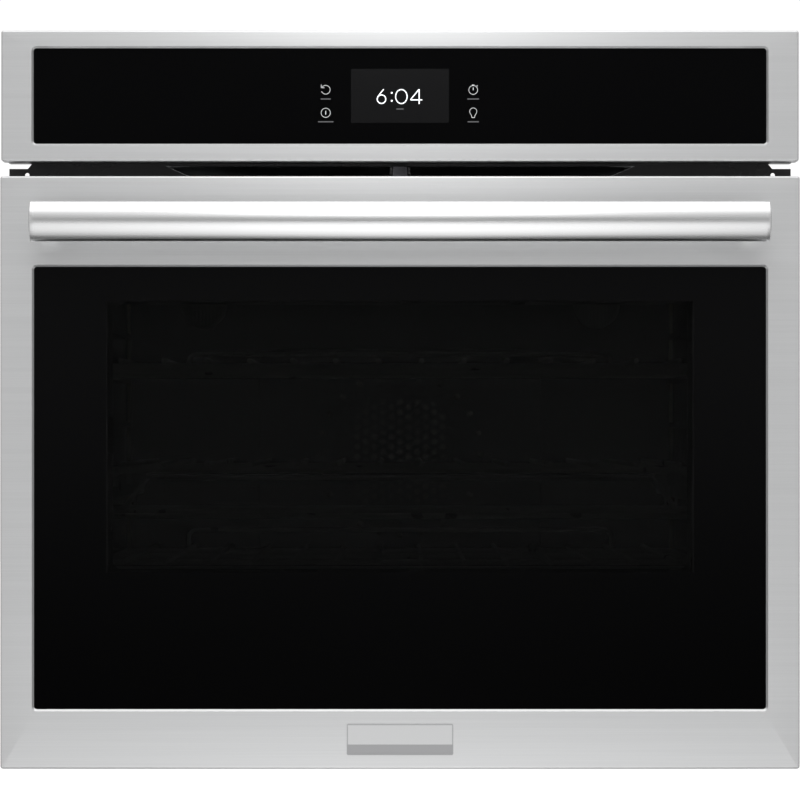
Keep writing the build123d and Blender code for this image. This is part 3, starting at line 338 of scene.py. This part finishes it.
satin = metal("satin_steel", (0.42, 0.42, 0.42), (0.58, 0.58, 0.58), 0.38, 20.0)
plated = metal("plated_wire", (0.80, 0.79, 0.77), (0.92, 0.91, 0.89), 0.30, 9.0, 0.5)
screws = metal("zinc_screws", (0.52, 0.52, 0.50), (0.70, 0.70, 0.67), 0.30, 120.0)
sheath = metal("element_sheath", (0.035, 0.032, 0.030), (0.10, 0.09, 0.08), 0.62, 25.0, 0.3, 0.0001)
dress(
    satin, "fan_motor", "blower_wheel", "blower_motor", "lamp_holders", "hinge_pins",
    "temperature_sensor", "hinge_arms", "hinge_channels", "spring_rods", "lock_motor",
    "glass_frame", "conduit_gland",
)
dress(plated, "glide_frame", "glide_rack", "bottom_rack", "top_rack")
dress(screws, "casing_screws", "handle_screws")
dress(sheath, "bake_element", "broil_element", "convection_element")
# The latch hook gets a very dark steel as painted shade: it sits in the shadowed gap under the control
# panel.
dress(metal("latch_steel_painted_shade", (0.06, 0.06, 0.065), (0.12, 0.12, 0.13), 0.45, 60.0), "latch_hook")
dress(metal("scorched_steel", (0.035, 0.034, 0.034), (0.09, 0.085, 0.08), 0.55, 40.0), "convection_fan")


# %% [markdown]
# ## Plastics and circuit boards
# Moulded plastic has a fine spark-eroded grain. A circuit board is one CAD piece with its parts
# on it, so its finish looks at how far a point stands off the board: below the board's face it
# is green with copper tracks, above it the parts are black, with a few blue and pale ones.


# %% Plastics
def plastic(name, tone, rough):
    """Moulded plastic with a fine grain."""
    body = Finish(name, IOR=1.46)
    cloud = body.noise(30.0, 3.0)
    body.set(Base_Color=body.mix(cloud, tuple(c * 0.85 for c in tone), tuple(c * 1.1 for c in tone)))
    body.set(Roughness=cloud * 0.12 + rough)
    return body.set(Normal=body.bump(body.noise(2500.0, 1.0), 0.00005))


dress(plastic("dark_plastic", (0.030, 0.030, 0.032), 0.42), "door_switch", "display_module")
dress(plastic("terminal_plastic", (0.05, 0.05, 0.05), 0.35), "terminal_block")
dress(plastic("white_plastic", (0.80, 0.80, 0.77), 0.35), "switch_plunger")


# %% Circuit boards
def circuit(name, letter, face, up):
    """A populated board whose parts stand on the plane letter = face."""
    board = Finish(name, IOR=1.5)
    parts = ((board.axis(letter) - face) * up).ease(0.0001, 0.0003)
    grid = board.node("TexVoronoi", {"distance": "MANHATTAN"}, {"Vector": board.place, "Scale": 260.0})
    tracks = (grid * 24.0).sine().ease(0.55, 0.75)
    green = board.mix(tracks, (0.010, 0.075, 0.030), (0.025, 0.16, 0.065))
    shade = board.noise(28.0, 0.0)
    black = board.mix(shade.ease(0.56, 0.57), (0.018, 0.018, 0.020), (0.03, 0.09, 0.30))
    bodies = board.mix(shade.ease(0.34, 0.35), (0.55, 0.52, 0.42), black)
    board.set(Base_Color=board.mix(parts, green, bodies))
    return board.set(Roughness=tracks * 0.1 + 0.32)


power_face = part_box("power_board")[0].z + 0.0154
touch_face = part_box("touch_board")[0].y + 0.0016
dress(circuit("power_circuit", "Z", power_face, 1.0), "power_board")
dress(circuit("touch_circuit", "Y", touch_face, 1.0), "touch_board")

# %% [markdown]
# ## The plate on the door
# A small satin plate sits on the lower rail: a thin rim, a plain upper field in the colour of the
# door, and a darker band along the bottom. It is left blank.

# %% Plate
plate_low, plate_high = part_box("name_plate")
badge = Finish("badge_plate", Metallic=1.0, Anisotropic=0.45, Anisotropic_Rotation=0.25)
from_edge_x = plate_high.x - badge.axis("X").size()
up = badge.axis("Z") - plate_low.z
tall = plate_high.z - plate_low.z
rim = 1.0 - (from_edge_x > 0.0011) * (up > 0.0011) * (up < tall - 0.0011)
band = (up < 0.0100).most(rim * 0.8)
grain = badge.noise(1.0, 3.0, (6.0, 1500.0, 1500.0))
badge.set(Base_Color=badge.mix(band, (0.82, 0.825, 0.83), (0.50, 0.50, 0.51)))
dress(badge.set(Roughness=grain * 0.10 + 0.34), "name_plate")

# %% [markdown]
# ## Smooth curved faces
# The frame's meshes are loose triangles, so a bent tube would show its facets. A Weld modifier
# joins the triangles and a small node tree shades as smooth every edge that turns by less than
# thirty degrees. The mesh itself stays as it was made.

# %% A node tree that smooths gentle bends
smooth_tree = bpy.data.node_groups.new("smooth_gentle_bends", "GeometryNodeTree")
smooth_tree.interface.new_socket("Geometry", in_out="INPUT", socket_type="NodeSocketGeometry")
sharpest = smooth_tree.interface.new_socket("Bend", in_out="INPUT", socket_type="NodeSocketFloat")
smooth_tree.interface.new_socket("Geometry", in_out="OUTPUT", socket_type="NodeSocketGeometry")
sharpest.default_value = math.radians(30)
add = smooth_tree.nodes.new
entry, leave = add("NodeGroupInput"), add("NodeGroupOutput")
angle, gentle = add("GeometryNodeInputMeshEdgeAngle"), add("FunctionNodeCompare")
faces, edges = add("GeometryNodeSetShadeSmooth"), add("GeometryNodeSetShadeSmooth")
gentle.operation, edges.domain = "LESS_EQUAL", "EDGE"
join = smooth_tree.links.new
join(entry.outputs["Geometry"], faces.inputs["Geometry"])
join(faces.outputs["Geometry"], edges.inputs["Geometry"])
join(angle.outputs["Unsigned Angle"], gentle.inputs["A"])
join(entry.outputs["Bend"], gentle.inputs["B"])
join(gentle.outputs["Result"], edges.inputs["Shade Smooth"])
join(edges.outputs["Geometry"], leave.inputs["Geometry"])


def smooth(obj):
    """Welds loose triangles and shades their gentle bends as smooth."""
    weld = obj.modifiers.new("weld", "WELD")
    weld.merge_threshold = 0.00001
    obj.modifiers.new("smooth", "NODES").node_group = smooth_tree


for obj in nodes.values():
    smooth(obj)
print("smoothed", len(nodes), "nodes")

# %% [markdown]
# ## Printing on the control glass
# The touch keys and the clock are printed on, or shine through, the black glass. They are thin
# meshes a tenth of a millimetre in front of it: a slightly paler window for the clock, its
# digits, and four plain signs for back, on, timer and light, each with a short bar under it.

# %% Inks
def printed_ink(name, tone, gloss=0.4):
    """A matt ink fired onto the glass."""
    paint = Finish(name, Base_Color=tone)
    return paint.set(Roughness=paint.noise(400.0) * 0.1 + gloss)


sign_ink = printed_ink("sign_ink", (0.80, 0.81, 0.82))
label_ink = printed_ink("label_ink", (0.12, 0.12, 0.125))
window_ink = printed_ink("clock_window", (0.0095, 0.0095, 0.0100), 0.05)
glow = Finish("clock_light", Base_Color=(0.9, 0.92, 0.95), Emission_Strength=0.85)
clock_light = glow.set(Emission_Color=glow.mix(glow.noise(700.0), (0.86, 0.90, 0.95), (1.0, 1.0, 1.0)))

# %% Flat signs
glass_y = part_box("control_glass")[0].y
display_low, display_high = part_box("display_module")
CLOCK_Z = (display_low.z + display_high.z) * 500 + 1.4


def printed_sign(name, shapes, material, lift):
    """Flat shapes just in front of the control glass, each a list of X, Z points in millimetres."""
    mesh = bmesh.new()
    for points in shapes:
        corners = [mesh.verts.new((x / 1000, glass_y - lift, z / 1000)) for x, z in points]
        mesh.faces.new(corners)
    for face in mesh.faces:
        face.normal_update()
        if face.normal.y > 0:
            face.normal_flip()
    data = bpy.data.meshes.new(name)
    mesh.to_mesh(data)
    mesh.free()
    sign = bpy.data.objects.new(name, data)
    bpy.context.scene.collection.objects.link(sign)
    wear(sign, material)
    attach(sign, "oven_body")
    print(name, len(shapes), "shapes")


def bar(x, z, width, height):
    """A rectangle about a centre."""
    w, h = width / 2, height / 2
    return [(x - w, z - h), (x + w, z - h), (x + w, z + h), (x - w, z + h)]


def ribbon(points, width=0.52):
    """A stroke through a row of points, as one four-sided shape for each step."""
    shapes = []
    for (x0, z0), (x1, z1) in zip(points, points[1:]):
        along = Vector((x1 - x0, z1 - z0)).normalized() * width / 2
        side = (-along.y, along.x)
        corners = ((x0, z0, 1), (x1, z1, 1), (x1, z1, -1), (x0, z0, -1))
        shapes.append([(x + side[0] * s, z + side[1] * s) for x, z, s in corners])
    return shapes


def arc(x, z, wide, tall, start, end, steps=32):
    """Points along part of an ellipse; angles in degrees from +X."""
    turns = [math.radians(start + (end - start) * n / steps) for n in range(steps + 1)]
    return [(x + wide * math.cos(t), z + tall * math.sin(t)) for t in turns]


# %% Touch keys
LEFT, RIGHT, UPPER, LOWER = -71.0, 70.0, 652.2, 630.2
back = ribbon(arc(LEFT, UPPER, 4.2, 4.2, -160, 120))
back += ribbon([(LEFT - 4.3, UPPER + 5.0), (LEFT - 4.3, UPPER + 1.9), (LEFT - 1.2, UPPER + 1.9)])
back += ribbon([(LEFT - 4.3, UPPER + 1.9), (LEFT - 2.1, UPPER + 3.7)])
power = ribbon(arc(LEFT, LOWER, 4.4, 4.4, 0, 360)) + [bar(LEFT, LOWER, 0.8, 3.6)]
timer = ribbon(arc(RIGHT, UPPER - 0.2, 4.2, 4.2, 0, 360)) + [bar(RIGHT, UPPER + 0.9, 0.7, 2.8)]
timer += [bar(RIGHT, UPPER + 4.6, 2.4, 0.7), bar(RIGHT + 3.7, UPPER + 3.7, 0.9, 0.9)]
bulb = ribbon(arc(RIGHT, LOWER + 1.2, 3.4, 3.4, -40, 220))
bulb += ribbon([(RIGHT + 2.6, LOWER - 1.0), (RIGHT + 1.4, LOWER - 3.2), (RIGHT + 1.4, LOWER - 4.6)])
bulb += ribbon([(RIGHT - 2.6, LOWER - 1.0), (RIGHT - 1.4, LOWER - 3.2), (RIGHT - 1.4, LOWER - 4.6)])
bulb += [bar(RIGHT, LOWER - 4.6, 2.8, 0.6)]
printed_sign("touch_key_signs", back + power + timer + bulb, sign_ink, 0.0001)
labels = [bar(LEFT, UPPER - 8.8, 9.6, 1.1), bar(LEFT, LOWER - 8.6, 14.8, 1.1)]
labels += [bar(RIGHT, UPPER - 8.8, 11.2, 1.1), bar(RIGHT, LOWER - 8.6, 10.8, 1.1)]
labels += [bar(0, CLOCK_Z - 12.6, 7.0, 1.1)]
printed_sign("touch_key_labels", labels, label_ink, 0.0001)
printed_sign("clock_window", [bar(0, CLOCK_Z, 93.6, 51.6)], window_ink, 0.00005)

# %% Clock digits
DIGIT = 1.0
foot = CLOCK_Z - 7.9
six = ribbon(arc(-17.7, foot + 4.7, 4.1, 4.1, 0, 360), DIGIT)
six += ribbon([(-20.9, foot + 7.3), (-18.6, foot + 10.6), (-15.6, foot + 14.2)], DIGIT)
colon = [bar(-7.9, foot + 3.2, 1.6, 1.6), bar(-7.9, foot + 10.8, 1.6, 1.6)]
nought = ribbon(arc(1.3, foot + 7.2, 5.5, 6.7, 0, 360, 48), DIGIT)
four = ribbon([(18.3, foot), (18.3, foot + 14.2)], DIGIT)
four += ribbon([(18.1, foot + 14.0), (10.2, foot + 4.4)], DIGIT) + [bar(15.7, foot + 4.0, 11.4, DIGIT)]
printed_sign("clock_digits", six + colon + nought + four, clock_light, 0.00012)

# %% [markdown]
# ## Hinge springs
# Each hinge pulls its door with a compression spring in a channel. A coil follows a rule, so a
# node tree makes it: a spiral, a round wire swept along it, one copy on each side. When the door
# opens the spring shortens; the coils here are made at full length.


# %% Helpers for node trees
def new_tree(name, **inputs):
    """A geometry node tree with named number inputs and a geometry output."""
    tree = bpy.data.node_groups.new(name, "GeometryNodeTree")
    for key, value in inputs.items():
        kind = "NodeSocketMaterial" if isinstance(value, bpy.types.Material) else "NodeSocketFloat"
        tree.interface.new_socket(key, in_out="INPUT", socket_type=kind)
    tree.interface.new_socket("Geometry", in_out="OUTPUT", socket_type="NodeSocketGeometry")
    return tree, tree.nodes.new("NodeGroupInput"), tree.nodes.new("NodeGroupOutput")


def grown(name, tree, body, slot, **inputs):
    """Runs a tree with these inputs and keeps what it makes as a plain mesh on a body."""
    holder = bpy.data.objects.new(name + "_tree", bpy.data.meshes.new(name + "_tree"))
    bpy.context.scene.collection.objects.link(holder)
    modifier = holder.modifiers.new("grow", "NODES")
    modifier.node_group = tree
    sockets = {s.name: s.identifier for s in tree.interface.items_tree if s.in_out == "INPUT"}
    for key, value in inputs.items():
        modifier[sockets[key]] = value
    bpy.context.view_layer.update()
    mesh = bpy.data.meshes.new_from_object(holder.evaluated_get(bpy.context.evaluated_depsgraph_get()))
    bpy.data.objects.remove(holder)
    piece = bpy.data.objects.new(name, mesh)
    bpy.context.scene.collection.objects.link(piece)
    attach(piece, body)
    print(name, len(mesh.polygons), "faces")
    return piece


def link(tree, pairs):
    """Joins each output to its input."""
    for output, target in pairs:
        tree.links.new(output, target)
    print(tree.name, len(tree.nodes), "nodes")


# %% Spring tree
tree, entry, leave = new_tree(
    "coil_spring", Turns=16.0, Radius=0.006, Wire=0.0011, Height=0.12, X=0.3, Y=0.0, Z=0.0, Finish=satin
)
add = tree.nodes.new
spiral, wire = add("GeometryNodeCurveSpiral"), add("GeometryNodeCurvePrimitiveCircle")
swept, painted = add("GeometryNodeCurveToMesh"), add("GeometryNodeSetMaterial")
placed, real = add("GeometryNodeTransform"), add("GeometryNodeRealizeInstances")
where = add("ShaderNodeCombineXYZ")
spiral.inputs["Resolution"].default_value = 20
wire.inputs["Resolution"].default_value = 8
swept.inputs["Fill Caps"].default_value = True
link(tree, (
    (entry.outputs["Turns"], spiral.inputs["Rotations"]),
    (entry.outputs["Radius"], spiral.inputs["Start Radius"]),
    (entry.outputs["Radius"], spiral.inputs["End Radius"]),
    (entry.outputs["Height"], spiral.inputs["Height"]),
    (entry.outputs["Wire"], wire.inputs["Radius"]),
    (spiral.outputs["Curve"], swept.inputs["Curve"]),
    (wire.outputs["Curve"], swept.inputs["Profile Curve"]),
    (entry.outputs["X"], where.inputs["X"]),
    (entry.outputs["Y"], where.inputs["Y"]),
    (entry.outputs["Z"], where.inputs["Z"]),
    (swept.outputs["Mesh"], placed.inputs["Geometry"]),
    (where.outputs["Vector"], placed.inputs["Translation"]),
    (placed.outputs["Geometry"], real.inputs["Geometry"]),
    (real.outputs["Geometry"], painted.inputs["Geometry"]),
    (entry.outputs["Finish"], painted.inputs["Material"]),
    (painted.outputs["Geometry"], leave.inputs["Geometry"]),
))

# %% Two springs
COIL_TURNS, COIL_RADIUS, WIRE_RADIUS = 16.0, 0.006, 0.0011
END_GAP = 0.0012  # from each end of the coil's centre line to the end of its place
low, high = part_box("hinge_springs")
spring_x = high.x - COIL_RADIUS - WIRE_RADIUS
spring_y = (low.y + high.y) / 2
spring_height = high.z - low.z - 2 * END_GAP
for side, name in ((-1, "hinge_spring_left"), (1, "hinge_spring_right")):
    spring = grown(
        name, tree, "door", "steel_parts", Turns=COIL_TURNS, Radius=COIL_RADIUS, Wire=WIRE_RADIUS,
        Height=spring_height, X=side * spring_x, Y=spring_y, Z=low.z + END_GAP, Finish=satin,
    )
    for polygon in spring.data.polygons:
        polygon.use_smooth = True
    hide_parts("hinge_springs")
    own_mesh(spring)

# %% [markdown]
# ## Mineral wool
# Blankets of mineral wool wrap the cavity and fill the door. Wool has no crisp edge: its surface
# is lumpy, its corners sag round and its fibres catch the light. Each blanket starts from its
# plain solid, is rebuilt as even squares, and every point is then pressed inwards by noise, so
# that the wool never leaves the space that its sheet metal gives it.

# %% Wool finish
wool = Finish("mineral_wool", Sheen_Weight=0.2)
fibres = wool.noise(1.0, 6.0, (900.0, 160.0, 900.0))
tufts = wool.noise(55.0, 4.0)
wool.set(Base_Color=wool.mix(fibres * 0.5 + tufts * 0.5, (0.34, 0.27, 0.14), (0.68, 0.60, 0.40)))
wool.set(Roughness=tufts * 0.1 + 0.85)
wool.set(Normal=wool.bump(fibres * 0.6 + tufts * 0.4, 0.0015))
print(wool.material.name, len(wool.tree.nodes), "nodes")


# %% Wool blankets
def welded_copy(node, name):
    """A copy of a CAD node's mesh with its loose triangles joined."""
    mesh = bmesh.new()
    mesh.from_mesh(nodes[node].data)
    bmesh.ops.remove_doubles(mesh, verts=mesh.verts, dist=0.00001)
    data = bpy.data.meshes.new(name)
    mesh.to_mesh(data)
    mesh.free()
    piece = bpy.data.objects.new(name, data)
    bpy.context.scene.collection.objects.link(piece)
    return piece


def applied(piece):
    """The piece with its modifiers made part of its mesh."""
    bpy.context.view_layer.update()
    made = bpy.data.meshes.new_from_object(piece.evaluated_get(bpy.context.evaluated_depsgraph_get()))
    piece.modifiers.clear()
    piece.data = made
    return piece


def blanket(node, name, body, voxel, depth):
    """A lumpy blanket inside a CAD node's plain solid."""
    piece = welded_copy(node, name)
    remesh = piece.modifiers.new("even", "REMESH")
    remesh.mode, remesh.voxel_size, remesh.use_smooth_shade = "VOXEL", voxel, True
    ease = piece.modifiers.new("ease", "CORRECTIVE_SMOOTH")
    ease.use_only_smooth, ease.iterations = True, 3
    applied(piece)
    mesh = piece.data
    count = len(mesh.vertices)
    co, normal = np.zeros(count * 3, np.float32), np.zeros(count * 3, np.float32)
    mesh.vertices.foreach_get("co", co)
    mesh.vertex_normals.foreach_get("vector", normal)
    co, normal = co.reshape(-1, 3), normal.reshape(-1, 3)
    lumps = np.array([noise.noise(Vector(p) * 26) + 0.5 * noise.noise(Vector(p) * 70) for p in co])
    co -= normal * (0.0006 + depth * (0.5 + 0.5 * np.clip(lumps, -1, 1)))[:, None]
    mesh.vertices.foreach_set("co", co.ravel())
    mesh.update()
    wear(piece, wool.material)
    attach(piece, body)
    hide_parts(node)
    print(name, count, "points")
    return piece


blanket("cavity_insulation", "cavity_wool", "oven_body", 0.009, 0.003)
blanket("door_insulation", "door_wool", "door", 0.006, 0.002)

# %% [markdown]
# ## Door gasket
# The gasket is a woven glass-fibre rope with a wire core, clipped round the cavity's mouth. Its
# path is a rectangle with round corners, so a node tree sweeps a round section along it. The
# weave is two families of slanting ridges.

# %% Gasket finish
braid = Finish("gasket_braid", Base_Color=(0.2, 0.2, 0.19), Roughness=0.9, Sheen_Weight=0.1)
run = braid.axis("X") + braid.axis("Z")
turn = braid.axis("Y") * 1.4
over = ((run + turn) * 2600.0).sine()
under = ((run - turn) * 2600.0).sine()
weave = over.most(under) * 0.5 + 0.5
# The braid's colour follows its ridges: the grooves between them are painted dark as shade, and the
# ridges pale.
braid.set(Base_Color=braid.mix(weave, (0.05, 0.05, 0.048), (0.24, 0.235, 0.22)))
braid.set(Normal=braid.bump(weave, 0.0004))
print(braid.material.name, len(braid.tree.nodes), "nodes")

# %% Gasket tree
tree, entry, leave = new_tree(
    "woven_rope_loop", Width=0.6, Height=0.5, Corner=0.02, Radius=0.003, Y=0.0, Z=0.0, Finish=satin
)
add = tree.nodes.new
frame_curve, round_off = add("GeometryNodeCurvePrimitiveQuadrilateral"), add("GeometryNodeFilletCurve")
even, section = add("GeometryNodeResampleCurve"), add("GeometryNodeCurvePrimitiveCircle")
swept, painted = add("GeometryNodeCurveToMesh"), add("GeometryNodeSetMaterial")
placed, real = add("GeometryNodeTransform"), add("GeometryNodeRealizeInstances")
where = add("ShaderNodeCombineXYZ")
round_off.mode, even.mode = "POLY", "LENGTH"
round_off.inputs["Count"].default_value = 8
even.inputs["Length"].default_value = 0.004
section.inputs["Resolution"].default_value = 16
placed.inputs["Rotation"].default_value = (math.radians(90), 0, 0)
link(tree, (
    (entry.outputs["Width"], frame_curve.inputs["Width"]),
    (entry.outputs["Height"], frame_curve.inputs["Height"]),
    (frame_curve.outputs["Curve"], round_off.inputs["Curve"]),
    (entry.outputs["Corner"], round_off.inputs["Radius"]),
    (round_off.outputs["Curve"], even.inputs["Curve"]),
    (even.outputs["Curve"], swept.inputs["Curve"]),
    (entry.outputs["Radius"], section.inputs["Radius"]),
    (section.outputs["Curve"], swept.inputs["Profile Curve"]),
    (entry.outputs["Y"], where.inputs["Y"]),
    (entry.outputs["Z"], where.inputs["Z"]),
    (swept.outputs["Mesh"], placed.inputs["Geometry"]),
    (where.outputs["Vector"], placed.inputs["Translation"]),
    (placed.outputs["Geometry"], real.inputs["Geometry"]),
    (real.outputs["Geometry"], painted.inputs["Geometry"]),
    (entry.outputs["Finish"], painted.inputs["Material"]),
    (painted.outputs["Geometry"], leave.inputs["Geometry"]),
))

# %% Gasket
SLACK = 0.0001  # keeps the rope inside its place
low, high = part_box("door_gasket")
thick = (high.y - low.y) / 2 - SLACK
gasket = grown(
    "woven_gasket", tree, "oven_body", "gasket_braid", Width=high.x - low.x - 2 * (thick + SLACK),
    Height=high.z - low.z - 2 * (thick + SLACK), Corner=0.022, Radius=thick,
    Y=(low.y + high.y) / 2, Z=(low.z + high.z) / 2, Finish=braid.material,
)
for polygon in gasket.data.polygons:
    polygon.use_smooth = True
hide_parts("door_gasket")

# %% [markdown]
# ## Floor, shelf and light
# The oven stands on a pale shelf above a pale floor, low enough for the open door to clear it.
# Steel looks bright only where it mirrors something bright, and black glass stays black only
# where it mirrors something dark. So the studio is a sky of soft light with a dark patch behind
# the viewer: rough steel gathers light from all round the patch, while the glass mirrors the
# patch alone. The sky is brightest above and below the viewer, which gives the steel its soft
# bright middle.

# %% Floor and shelf
pale = Finish(
    "pale_floor", Base_Color=(0.86, 0.86, 0.86), Emission_Color=(1.0, 1.0, 1.0), Emission_Strength=0.45
)
pale.set(Roughness=pale.noise(3.0) * 0.05 + 0.75)


def slab(name, x, y, z):
    """A pale block that isn't part of the oven."""
    mesh = bmesh.new()
    bmesh.ops.create_cube(mesh, size=1.0)
    bmesh.ops.scale(mesh, verts=mesh.verts, vec=(x[1] - x[0], y[1] - y[0], z[1] - z[0]))
    middle = ((x[0] + x[1]) / 2, (y[0] + y[1]) / 2, (z[0] + z[1]) / 2)
    bmesh.ops.translate(mesh, verts=mesh.verts, vec=middle)
    data = bpy.data.meshes.new(name)
    mesh.to_mesh(data)
    mesh.free()
    block = bpy.data.objects.new(name, data)
    bpy.context.scene.collection.objects.link(block)
    block.visible_glossy = False
    wear(block, pale.material)
    block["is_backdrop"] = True
    print(name, "at", z)


slab("floor", (-6, 6), (-6, 6), (-0.12, -0.10))
slab("shelf", (-0.34, 0.34), (-0.27, 0.27), (-0.10, -0.0002))

# %% Sky
world = bpy.data.worlds.new("studio")
bpy.context.scene.world = world
world.use_nodes = True
sky = world.node_tree
sky.nodes.clear()


def sky_node(kind, settings=None, inputs=None, output=0):
    """Adds a node to the sky's tree and returns one of its outputs."""
    made = sky.nodes.new("ShaderNode" + kind)
    for key, value in (settings or {}).items():
        setattr(made, key, value)
    for key, value in (inputs or {}).items():
        if isinstance(value, bpy.types.NodeSocket):
            sky.links.new(value, made.inputs[key])
        else:
            made.inputs[key].default_value = value
    return made.outputs[output]


def sky_math(operation, *terms):
    return sky_node("Math", {"operation": operation}, dict(enumerate(terms)))


def sky_ease(value, low, high):
    settings = {"interpolation_type": "SMOOTHSTEP"}
    return sky_node("MapRange", settings, {"Value": value, "From Min": low, "From Max": high})


# %% Sky levels
HORIZON = 0.59  # all round the viewer
ZENITH, HIGH = 0.52, (0.45, 0.95)  # more from overhead, and where that starts and is full
NADIR, DEEP = 0.45, (-0.6, -0.95)  # less from below
FLANK, ASIDE = 0.40, (0.85, 0.98)  # less from straight left and right: it draws the dark edges
COLUMN, COLUMN_LOW, TIGHTNESS = 0.28, 1.15, -60.0  # a narrow bright column, stronger low down
PATCH, PATCH_ACROSS, PATCH_ALONG, PATCH_LIFT = 0.985, (0.20, 0.155), (0.18, 0.14), 0.012
BACKDROP = 1.05  # what the viewer sees behind the oven

direction = sky_node("TexCoord", output="Generated")
dx, dy, dz = (sky_node("SeparateXYZ", inputs={0: direction}, output=n) for n in range(3))
ahead = sky_math("MAXIMUM", sky_math("SUBTRACT", 0.0, dy), 0.02)
across = sky_math("DIVIDE", sky_math("ABSOLUTE", dx), ahead)
along = sky_math("ABSOLUTE", sky_math("SUBTRACT", sky_math("DIVIDE", dz, ahead), PATCH_LIFT))
column = sky_math("POWER", math.e, sky_math("MULTIPLY", sky_math("POWER", across, 2.0), TIGHTNESS))
patch = sky_math("MULTIPLY", sky_ease(across, *PATCH_ACROSS), sky_ease(along, *PATCH_ALONG))
level = sky_math("ADD", sky_math("MULTIPLY", sky_ease(dz, *HIGH), ZENITH), HORIZON)
level = sky_math("SUBTRACT", level, sky_math("MULTIPLY", sky_ease(dz, *DEEP), NADIR))
flank = sky_math("MULTIPLY", sky_ease(sky_math("ABSOLUTE", dx), *ASIDE), FLANK)
level = sky_math("SUBTRACT", level, flank)
below = sky_math("ADD", sky_math("MULTIPLY", sky_ease(dz, 0.05, -0.15), COLUMN_LOW), COLUMN)
level = sky_math("ADD", level, sky_math("MULTIPLY", column, below))
level = sky_math("MULTIPLY", level, sky_math("SUBTRACT", 1.0, sky_math("MULTIPLY", patch, PATCH)))
seen = sky_node("LightPath", output="Is Camera Ray")
strength = sky_node("Mix", {"data_type": "FLOAT"}, {0: seen, 2: level, 3: BACKDROP})
shine = sky_node("Background", inputs={"Color": (1.0, 1.0, 1.0, 1.0), "Strength": strength})
sky.links.new(shine, sky.nodes.new("ShaderNodeOutputWorld").inputs["Surface"])
print("sky", len(sky.nodes), "nodes")


# %% Softboxes
def softbox(name, wide, tall, power, place, aim):
    """A soft rectangular lamp at a place, aimed at a point."""
    lamp = bpy.data.lights.new(name, "AREA")
    lamp.shape, lamp.size, lamp.size_y, lamp.energy = "RECTANGLE", wide, tall, power
    box = bpy.data.objects.new(name, lamp)
    bpy.context.scene.collection.objects.link(box)
    box.location = place
    box.rotation_euler = (Vector(aim) - box.location).to_track_quat("-Z", "Y").to_euler()
    print(name, wide, "by", tall, "m")


softbox("overhead_softbox", 2.2, 0.9, 5.0, (0, -1.1, 2.2), (0, -0.35, 0.5))
softbox("strip_softbox", 0.45, 1.0, 2.5, (0, -1.8, 1.45), (0, -0.34, 0.35))
bpy.context.scene.view_settings.view_transform = "Standard"

# %% Boxes
low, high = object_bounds()
print("visual box", [round(v, 4) for v in low], [round(v, 4) for v in high])
